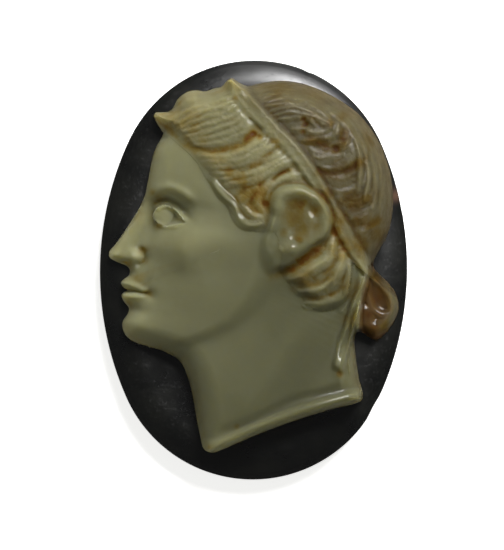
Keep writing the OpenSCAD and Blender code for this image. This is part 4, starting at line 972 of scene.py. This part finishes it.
def dark_stone(settings):
    """Near-black polished stone with faint clouds, specks, brown flaws and hair scratches."""
    material, tree, shader, where = new_material("dark_stone")
    clouds = noise(tree, where, DARK_CLOUDS, 5, 0.6)
    specks = noise(tree, where, DARK_SPECKS, 3, 0.75)
    colour = mix(tree, ramp(tree, clouds, 0.35, 0.7), settings.ground_colour, settings.ground_cloud_colour)
    colour = mix(tree, ramp(tree, specks, 0.66, 0.74, 0, 0.5), colour, settings.speck_colour)
    flaw = times(tree, attribute(tree, "flaw"), ramp(tree, clouds, 0.3, 0.6, 0.6, 1.1), True)
    turned = make(tree, "ShaderNodeMapping", 0, {"Vector": where, "Rotation": (0, 0, SCRATCH_TURN),
                                                 "Scale": (0.12, 1, 1)})
    scratches = ramp(tree, noise(tree, turned, DARK_SCRATCHES, 2, 0.5), 0.60, 0.68)
    marks = plus(tree, ramp(tree, specks, 0.56, 0.64), times(tree, scratches, 0.4), True)
    fill(tree, shader, {
        "Base Color": mix(tree, flaw, colour, settings.flaw_colour),
        "Roughness": plus(tree, ramp(tree, clouds, 0.3, 0.7, 0.26, 0.34), times(tree, marks, 0.16)),
        "IOR": STONE_IOR,
        "Normal": bump(tree, reckon(tree, "SUBTRACT", times(tree, specks, 0.3), marks), settings.mark_depth),
    })
    return material


# Properties of the panel
def size(name, description, value):
    return FloatProperty(name=name, description=description, unit="LENGTH", default=value)


def number(name, description, value):
    return FloatProperty(name=name, description=description, default=value, min=0)


def swatch(name, description, *value):
    return FloatVectorProperty(name=name, description=description, subtype="COLOR", default=value)


class GroundSettings(bpy.types.PropertyGroup):
    """Sizes and colours of the dark oval ground."""
    width: size("Width", "Width of the oval ground", GROUND_BOX[1].x - GROUND_BOX[0].x)
    length: size("Length", "Length of the oval ground", GROUND_BOX[1].y - GROUND_BOX[0].y)
    end_radius: size("End radius", "Radius of the round ends", 0.0099)
    top: size("Top", "Height of the flat middle of the ground", GROUND_BOX[1].z - GROUND_CUT)
    shoulder_width: size("Shoulder width", "Width of the rounded shoulder", 0.0022)
    shoulder_drop: size("Shoulder drop", "Fall of the shoulder to the rim", 0.00075)
    back_bevel: size("Back bevel", "Bevel round the edge of the back", 0.0003)
    rim_steps: IntProperty(name="Rim steps", description="Points along the rim", default=720, min=60)
    mark_depth: size("Mark depth", "Depth of the fine pits and scratches", 0.000001)
    ground_colour: swatch("Ground colour", "Colour of the dark stone", 0.0018, 0.0020, 0.0018)
    ground_cloud_colour: swatch("Cloud colour", "Colour of its faint clouds", 0.0050, 0.0052, 0.0038)
    speck_colour: swatch("Speck colour", "Colour of its fine specks", 0.020, 0.021, 0.020)
    flaw_colour: swatch("Flaw colour", "Colour of its brown flaws", 0.075, 0.040, 0.024)


class ReliefSettings(bpy.types.PropertyGroup):
    """Sizes and colours of the carved head."""
    skull_rise: size("Skull rise", "Height of the skull over the ground at its fullest", 0.0050)
    neck_rise: size("Neck rise", "Height of the neck over the ground along its middle", 0.00375)
    hair_rise: size("Hair rise", "How far the mass of the hair stands over the skin", 0.00026)
    lock_fullness: number("Lock fullness", "Fullness of the locks, as a multiple", 1.0)
    strand_depth: size("Strand depth", "Depth of the fine lines between strands", 0.00010)
    band_half_width: size("Band half width", "Half the width of the band over the forehead", 0.00054)
    band_back_half_width: size("Band back half width", "Half the width of the band behind the ear", 0.00046)
    band_rise: size("Band rise", "How far the band stands over the mass of the hair", 0.00017)
    ear_rise: size("Ear rise", "How far the ear stands over the head", 0.00036)
    ribbon_rise: size("Ribbon rise", "How far the ends of the ribbon stand over the neck", 0.00048)
    wear: IntProperty(name="Wear", description="Rounds of smoothing that wear the hair down",
                      default=2, min=0)
    grid_steps: IntProperty(name="Grid steps", description="Squares on each side of the carved grid",
                            default=296, min=40, max=300)
    foot: size("Foot", "How far the carving reaches into the ground", 0.00015)
    skin_colour: swatch("Skin colour", "Colour of the pale stone", 0.123, 0.121, 0.064)
    cloud_colour: swatch("Cloud colour", "Colour of its soft clouds", 0.135, 0.133, 0.071)
    hair_colour: swatch("Hair colour", "Warmer colour of the carved hair", 0.152, 0.142, 0.076)
    back_colour: swatch("Back colour", "Browner colour of the back hair", 0.062, 0.053, 0.0265)
    ochre_tint: swatch("Ochre tint", "Yellow brown cast of the weaker stains", 0.87, 0.65, 0.27)
    rust_tint: swatch("Rust tint", "Red brown cast of the strongest stains", 0.80, 0.46, 0.20)
    # Pinkish brown of the thin edges, darkened as painted shade
    edge_tint_and_shade: swatch("Edge tint", "Pinkish brown cast of the thin edges", 0.84, 0.68, 0.60)
    bow_tint: swatch("Bow tint", "Orange brown cast of the bow", 1.0, 0.50, 0.22)
    # Painted highlight on the crests of the strands and painted shade in the hollows between them
    strand_shading: number("Strand tone", "How much paler crests and darker hollows are", 0.16)
    unevenness: size("Unevenness", "Height of the uneven surface of the hair", 0.00017)
    translucency: size("Translucency", "How far light spreads inside the stone", 0.0030)
    gloss_low: number("Gloss low", "Least roughness of the polish", 0.42)
    gloss_high: number("Gloss high", "Greatest roughness of the polish", 0.56)


class StageSettings(bpy.types.PropertyGroup):
    """Floor, lights and camera."""
    floor_colour: swatch("Floor colour", "Colour of the pale floor", 0.92, 0.92, 0.91)
    key_power: number("Key light", "Power of the main light in watts", 0.58)
    low_power: number("Low light", "Power of the weak light over the top in watts", 0.19)
    side_power: number("Side light", "Power of the weak light on the left in watts", 0.003)
    floor_glow: number("Floor glow", "Light of the floor card's own", 0.8)
    sky: number("Sky", "Strength of the even light from all round", 0.11)
    camera_height: size("Camera height", "Height of the camera over the floor", 0.4)
    camera_roll: FloatProperty(name="Camera roll", description="Turn of the camera about its line of sight",
                               subtype="ANGLE", default=math.radians(0.7))


class CAMEO_OT_ground(bpy.types.Operator):
    """Builds the dark oval ground with its girdle, shoulder and bevelled back"""
    bl_idname = "cameo.ground"
    bl_label = "Build Ground"

    def execute(self, context):
        settings = context.scene.cameo_ground
        oval = oval_of(settings)
        bevel = settings.back_bevel / MM
        deselect()
        bpy.ops.mesh.primitive_circle_add(vertices=settings.rim_steps, radius=1, fill_type="NGON")
        obj = context.object
        obj.name = obj.data.name = "dark_ground"
        co = coordinates(obj)
        co[:, :2] = oval_points(np.arctan2(co[:, 1], co[:, 0]), oval, bevel)
        set_coordinates(obj, co * MM)
        mode("EDIT")
        bpy.ops.mesh.select_all(action="SELECT")
        bpy.ops.mesh.normals_make_consistent(inside=False)
        mode("OBJECT")
        for inset, z in ground_rows(oval, bevel):
            mode("EDIT")
            bpy.ops.mesh.extrude_region_move(TRANSFORM_OT_translate={"value": (0, 0, 0)})
            mode("OBJECT")
            co = coordinates(obj)
            picked = np.zeros(len(co), bool)
            obj.data.vertices.foreach_get("select", picked)
            turn = np.arctan2(co[picked, 1], co[picked, 0])
            co[picked, :2] = oval_points(turn, oval, inset) * MM
            co[picked, 2] = z * MM
            set_coordinates(obj, co)
        wear_rim(obj)
        finish_mesh(obj, dark_stone(settings), 32)
        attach(obj, "root")
        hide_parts("ground_layer")
        return {"FINISHED"}


def ground_rows(oval, bevel):
    """Rows of points from the back bevel up the girdle and over the shoulder: inset and height."""
    girdle = oval["top"] - oval["drop"]
    rows = [(0.35 * bevel, 0.12 * bevel), (0.12 * bevel, 0.35 * bevel), (0, bevel),
            (0, girdle - GIRDLE_EDGE), (GIRDLE_EDGE / 4, girdle - GIRDLE_EDGE / 3),
            (GIRDLE_EDGE, girdle + GIRDLE_EDGE / 6)]
    for k in range(1, SHOULDER_ROWS + 1):
        inset = GIRDLE_EDGE + (oval["shoulder"] - GIRDLE_EDGE) * k / SHOULDER_ROWS
        rows.append((inset, shoulder_height(inset, oval)))
    return rows


def wear_rim(obj):
    """Presses the chips into the rim and marks the brown flaws."""
    co = coordinates(obj)
    x, y = co[:, 0] / MM, co[:, 1] / MM
    inward = -np.stack([x, y], axis=1) / np.maximum(np.hypot(x, y), 1)[:, None]
    for cx, cy, radius, depth in CHIPS:
        co[:, :2] += inward * (depth * spot(x, y, cx, cy, radius) * MM)[:, None]
    set_coordinates(obj, co)
    flaw = np.zeros(len(co))
    strongest(flaw, x, y, FLAWS)
    add_attribute(obj, "flaw", flaw * ease(co[:, 2] / MM))


def outline_table():
    """Closed outline of the relief: plan x, plan y and radius of the rounded edge."""
    points = [(*place(u, v), edge) for u, v, edge in PROFILE] + list(OUTLINE)
    return spline(points, 6, closed=True)


def grid_places(a, b, outline):
    """Plan places of a square grid (a and b from -1 to 1) laid on the outline, as rings round its hub."""
    ring = np.maximum(np.abs(a), np.abs(b))
    safe = np.where(ring > 0, ring, 1)
    q = np.select([(a >= np.abs(b)), (b >= np.abs(a)), (-a >= np.abs(b))],
                  [b / safe / 8, 0.25 - a / safe / 8, 0.5 - b / safe / 8], 0.75 + a / safe / 8) % 1
    spoke = outline[:, :2] - HUB
    angle = np.unwrap(np.arctan2(spoke[:, 1], spoke[:, 0]))
    radius = np.hypot(*spoke.T)
    # the outline runs round by its own length, so that close forms such as the nose get more points
    step = np.hypot(radius * np.gradient(angle), 0.7 * np.gradient(radius))
    run = np.concatenate([[0], np.cumsum((step[1:] + step[:-1]) / 2), [0]])
    run[-1] = run[-2] + (step[0] + step[-1]) / 2
    turn = np.append(angle, angle[0] + 2 * math.pi * np.sign(angle[-1] - angle[0]))
    theta = np.interp(q * run[-1], run, turn)
    reach = np.interp(q * run[-1], run, np.append(radius, radius[0]))
    # the first rings inside the outline lie closer together
    depth = 1 - ring
    depth = (depth - CLOSE_RINGS * (1 - np.exp(-depth / CLOSE_RINGS))) / (
        1 - CLOSE_RINGS * (1 - math.exp(-1 / CLOSE_RINGS)))
    reach = (1 - depth) * reach
    return HUB[0] + reach * np.cos(theta), HUB[1] + reach * np.sin(theta)


def edge_share(x, y, outline):
    """Share of the rounded edge that each point has climbed."""
    best = np.full(x.shape, 1e9)
    for p, q in zip(outline, np.roll(outline, -1, axis=0)):
        t, ex, ey = nearest(x, y, p, q)
        np.minimum(best, np.hypot(ex, ey) / (p[2] + t * (q[2] - p[2])), out=best)
    return best


def blurred(field, rounds):
    for _ in range(rounds):
        wide = np.pad(field, 1, mode="edge")
        field = (wide[:-2, 1:-1] + wide[2:, 1:-1] + wide[1:-1, :-2] + wide[1:-1, 2:] + 2 * field) / 6
    return field


def carving(x, y, settings):
    """Heights of the head over the ground, and the share of each form at every point."""
    z, hair_share, back = hair(x, y, skin(x, y, settings), settings)
    z, on_ear = ear(x, y, z, settings)
    z, on_bow, bow_rim = bow(x, y, z, settings)
    return z, {"hair": hair_share, "back": back, "ear": on_ear, "bow": on_bow, "bow_rim": bow_rim}


def mark_stone(obj, x, y, t, level, part, settings):
    """Stores what the pale stone reads: stains, painted strand highlights and shade with tone, unevenness,
    thin edges with painted shade, hair and ribbon.
    """
    fine = np.clip((blurred(level, FINE_ROUNDS) - level) / FINE_DEPTH, -1, 1).ravel()
    broad = np.clip((blurred(level, BROAD_ROUNDS) - level) / BROAD_DEPTH, -1, 1).ravel()
    cavity = np.clip(0.40 * fine + 0.40 * broad, 0, 1)
    spots = np.zeros(x.shape)
    strongest(spots, x, y, STAINS)
    strongest(spots, x, y, [(*place(u, v), radius, amount) for u, v, radius, amount in FACE_STAINS])
    for width, depth, brown, points in GROOVES:
        spots = np.maximum(spots, brown * bell(Line(points).along(x, y)[0] / (1.6 * width)))
    hair_share, on_ear, on_bow = part["hair"], part["ear"], part["bow"]
    hollows = cavity * (0.15 + 0.42 * hair_share)
    # Painted highlight on the crests of the strands and painted shade in the hollows between them
    crests = settings.strand_shading * (0.7 + 0.2 * part["back"]) * fine * hair_share * (1 - on_ear)
    # Painted shade on the hair where it falls away to the ground
    falling = hair_share * (1 - ease(t / 1.1))
    for name, values in (
            ("stain", np.clip(hollows + spots * (0.85 + 0.25 * cavity), 0, 1) * (t > 0.15)),
            # Painted strand highlights and shade, the darker bow, and painted shade on the falling hair
            ("tone", (1 - crests) * (1 - BOW_DARKER * on_bow) * (1 - FALLING_HAIR_SHADE * falling)),
            ("hair", hair_share * (1 - 0.8 * on_ear)),
            ("back", part["back"]),
            ("uneven", hair_share * (1 - 0.6 * on_ear) * ease((t - 0.35) / 0.5)),
            # Thin edges: pinkish brown with painted shade, stronger towards the right
            ("thin", np.clip(1 - t / 0.45, 0, 1) * (0.34 + 0.36 * ease((x + 4) / 8))),
            ("ribbon", on_bow * (0.9 - 0.75 * part["bow_rim"]))):
        add_attribute(obj, name, values)


class CAMEO_OT_relief(bpy.types.Operator):
    """Carves the head, its hair, band, ear and bow from a square grid laid on the outline"""
    bl_idname = "cameo.relief"
    bl_label = "Carve Head"

    def execute(self, context):
        settings = context.scene.cameo_relief
        oval = oval_of(context.scene.cameo_ground)
        n = settings.grid_steps
        deselect()
        bpy.ops.mesh.primitive_grid_add(x_subdivisions=n, y_subdivisions=n, size=2)
        obj = context.object
        obj.name = obj.data.name = "carved_head"
        co = coordinates(obj)
        outline = outline_table()
        x, y = grid_places(co[:, 0], co[:, 1], outline)
        t = edge_share(x, y, outline)
        z, part = carving(x, y, settings)
        z += part["hair"] * (blurred(z.reshape(n + 1, n + 1), settings.wear).ravel() - z)
        rise = np.sqrt(1 - (1 - np.clip(t, 0, 1)) ** 2)
        ground = shoulder_height(rim_distance(x, y, oval), oval)
        level = ground + (oval["top"] - ground) * rise + z * rise
        set_coordinates(obj, np.stack([x, y, level], axis=1) * MM)
        mark_stone(obj, x, y, t, level.reshape(n + 1, n + 1), part, settings)
        mode("EDIT")
        bpy.ops.mesh.select_mode(type="EDGE")
        bpy.ops.mesh.select_all(action="DESELECT")
        bpy.ops.mesh.select_non_manifold(extend=False, use_boundary=True)
        bpy.ops.mesh.extrude_edges_move(TRANSFORM_OT_translate={"value": (0, 0, -settings.foot)})
        bpy.ops.mesh.edge_face_add()
        mode("OBJECT")
        finish_mesh(obj, pale_stone(settings), 50)
        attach(obj, "root")
        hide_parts("head_relief")
        return {"FINISHED"}


class CAMEO_OT_stage(bpy.types.Operator):
    """Sets the pale floor, the soft lights and the camera"""
    bl_idname = "cameo.stage"
    bl_label = "Set Stage"

    def execute(self, context):
        settings = context.scene.cameo_stage
        scene = context.scene
        deselect()
        bpy.ops.mesh.primitive_plane_add(size=4)
        floor = context.object
        floor.name = "pale_floor"
        material, tree, shader, where = new_material("floor_card")
        darker = tuple(0.97 * c for c in settings.floor_colour)
        fill(tree, shader, {
            "Base Color": mix(tree, noise(tree, where, 60, 3, 0.55), settings.floor_colour, darker),
            "Roughness": 0.8,
            "Specular IOR Level": 0.2,
            "Emission Color": (1, 1, 0.98),
            "Emission Strength": settings.floor_glow,
        })
        floor.data.materials.append(material)
        floor.visible_glossy = False
        world = bpy.data.worlds.new("studio")
        world.use_nodes = True
        sky = world.node_tree.nodes["Background"]
        fill(world.node_tree, sky, {"Color": (1, 1, 1), "Strength": settings.sky})
        scene.world = world
        for light in LIGHTS:
            area_light(*light[:-1], getattr(settings, light[-1]))
        camera = bpy.data.objects.new("camera", bpy.data.cameras.new("camera"))
        scene.collection.objects.link(camera)
        scene.camera = camera
        camera.location = (FRAME_MIDDLE[0] * MM, FRAME_MIDDLE[1] * MM, settings.camera_height)
        camera.rotation_euler = (0, 0, settings.camera_roll)
        half = FRAME_PIXELS[1] / 2 / PIXELS_PER_MM * MM
        camera.data.lens = SENSOR / 2 * (settings.camera_height - scene.cameo_ground.top) / half
        camera.data.sensor_width = SENSOR
        camera.data.clip_start = 0.01
        camera.data.clip_end = 10
        scene.view_settings.view_transform = "Standard"
        return {"FINISHED"}


def area_light(name, azimuth, elevation, distance, width, height, power):
    """A soft panel light that faces the part."""
    light = bpy.data.lights.new(name, "AREA")
    light.shape = "RECTANGLE"
    light.size, light.size_y = width, height
    light.energy = power
    obj = bpy.data.objects.new(name, light)
    bpy.context.scene.collection.objects.link(obj)
    turn, up = math.radians(azimuth), math.radians(elevation)
    way = Vector((math.sin(turn) * math.cos(up), math.cos(turn) * math.cos(up), math.sin(up)))
    obj.location = way * distance
    obj.rotation_euler = way.to_track_quat("Z", "Y").to_euler()


class CAMEO_PT_panel(bpy.types.Panel):
    """Lists the pieces and the stage"""
    bl_label = "Oval Cameo"
    bl_space_type = "VIEW_3D"
    bl_region_type = "UI"
    bl_category = "Cameo"

    def draw(self, context):
        for settings, operator in (("cameo_ground", "cameo.ground"), ("cameo_relief", "cameo.relief"),
                                   ("cameo_stage", "cameo.stage")):
            box = self.layout.box()
            group = getattr(context.scene, settings)
            for name in group.__annotations__:
                box.prop(group, name)
            box.operator(operator)


CLASSES = (GroundSettings, ReliefSettings, StageSettings, CAMEO_OT_ground, CAMEO_OT_relief,
           CAMEO_OT_stage, CAMEO_PT_panel)


def register():
    for cls in CLASSES:
        bpy.utils.register_class(cls)
    bpy.types.Scene.cameo_ground = PointerProperty(type=GroundSettings)
    bpy.types.Scene.cameo_relief = PointerProperty(type=ReliefSettings)
    bpy.types.Scene.cameo_stage = PointerProperty(type=StageSettings)


def unregister():
    del bpy.types.Scene.cameo_ground
    del bpy.types.Scene.cameo_relief
    del bpy.types.Scene.cameo_stage
    for cls in reversed(CLASSES):
        bpy.utils.unregister_class(cls)


def main():
    register()
    bpy.ops.cameo.ground()
    bpy.ops.cameo.relief()
    bpy.ops.cameo.stage()


if __name__ == "__main__":
    main()
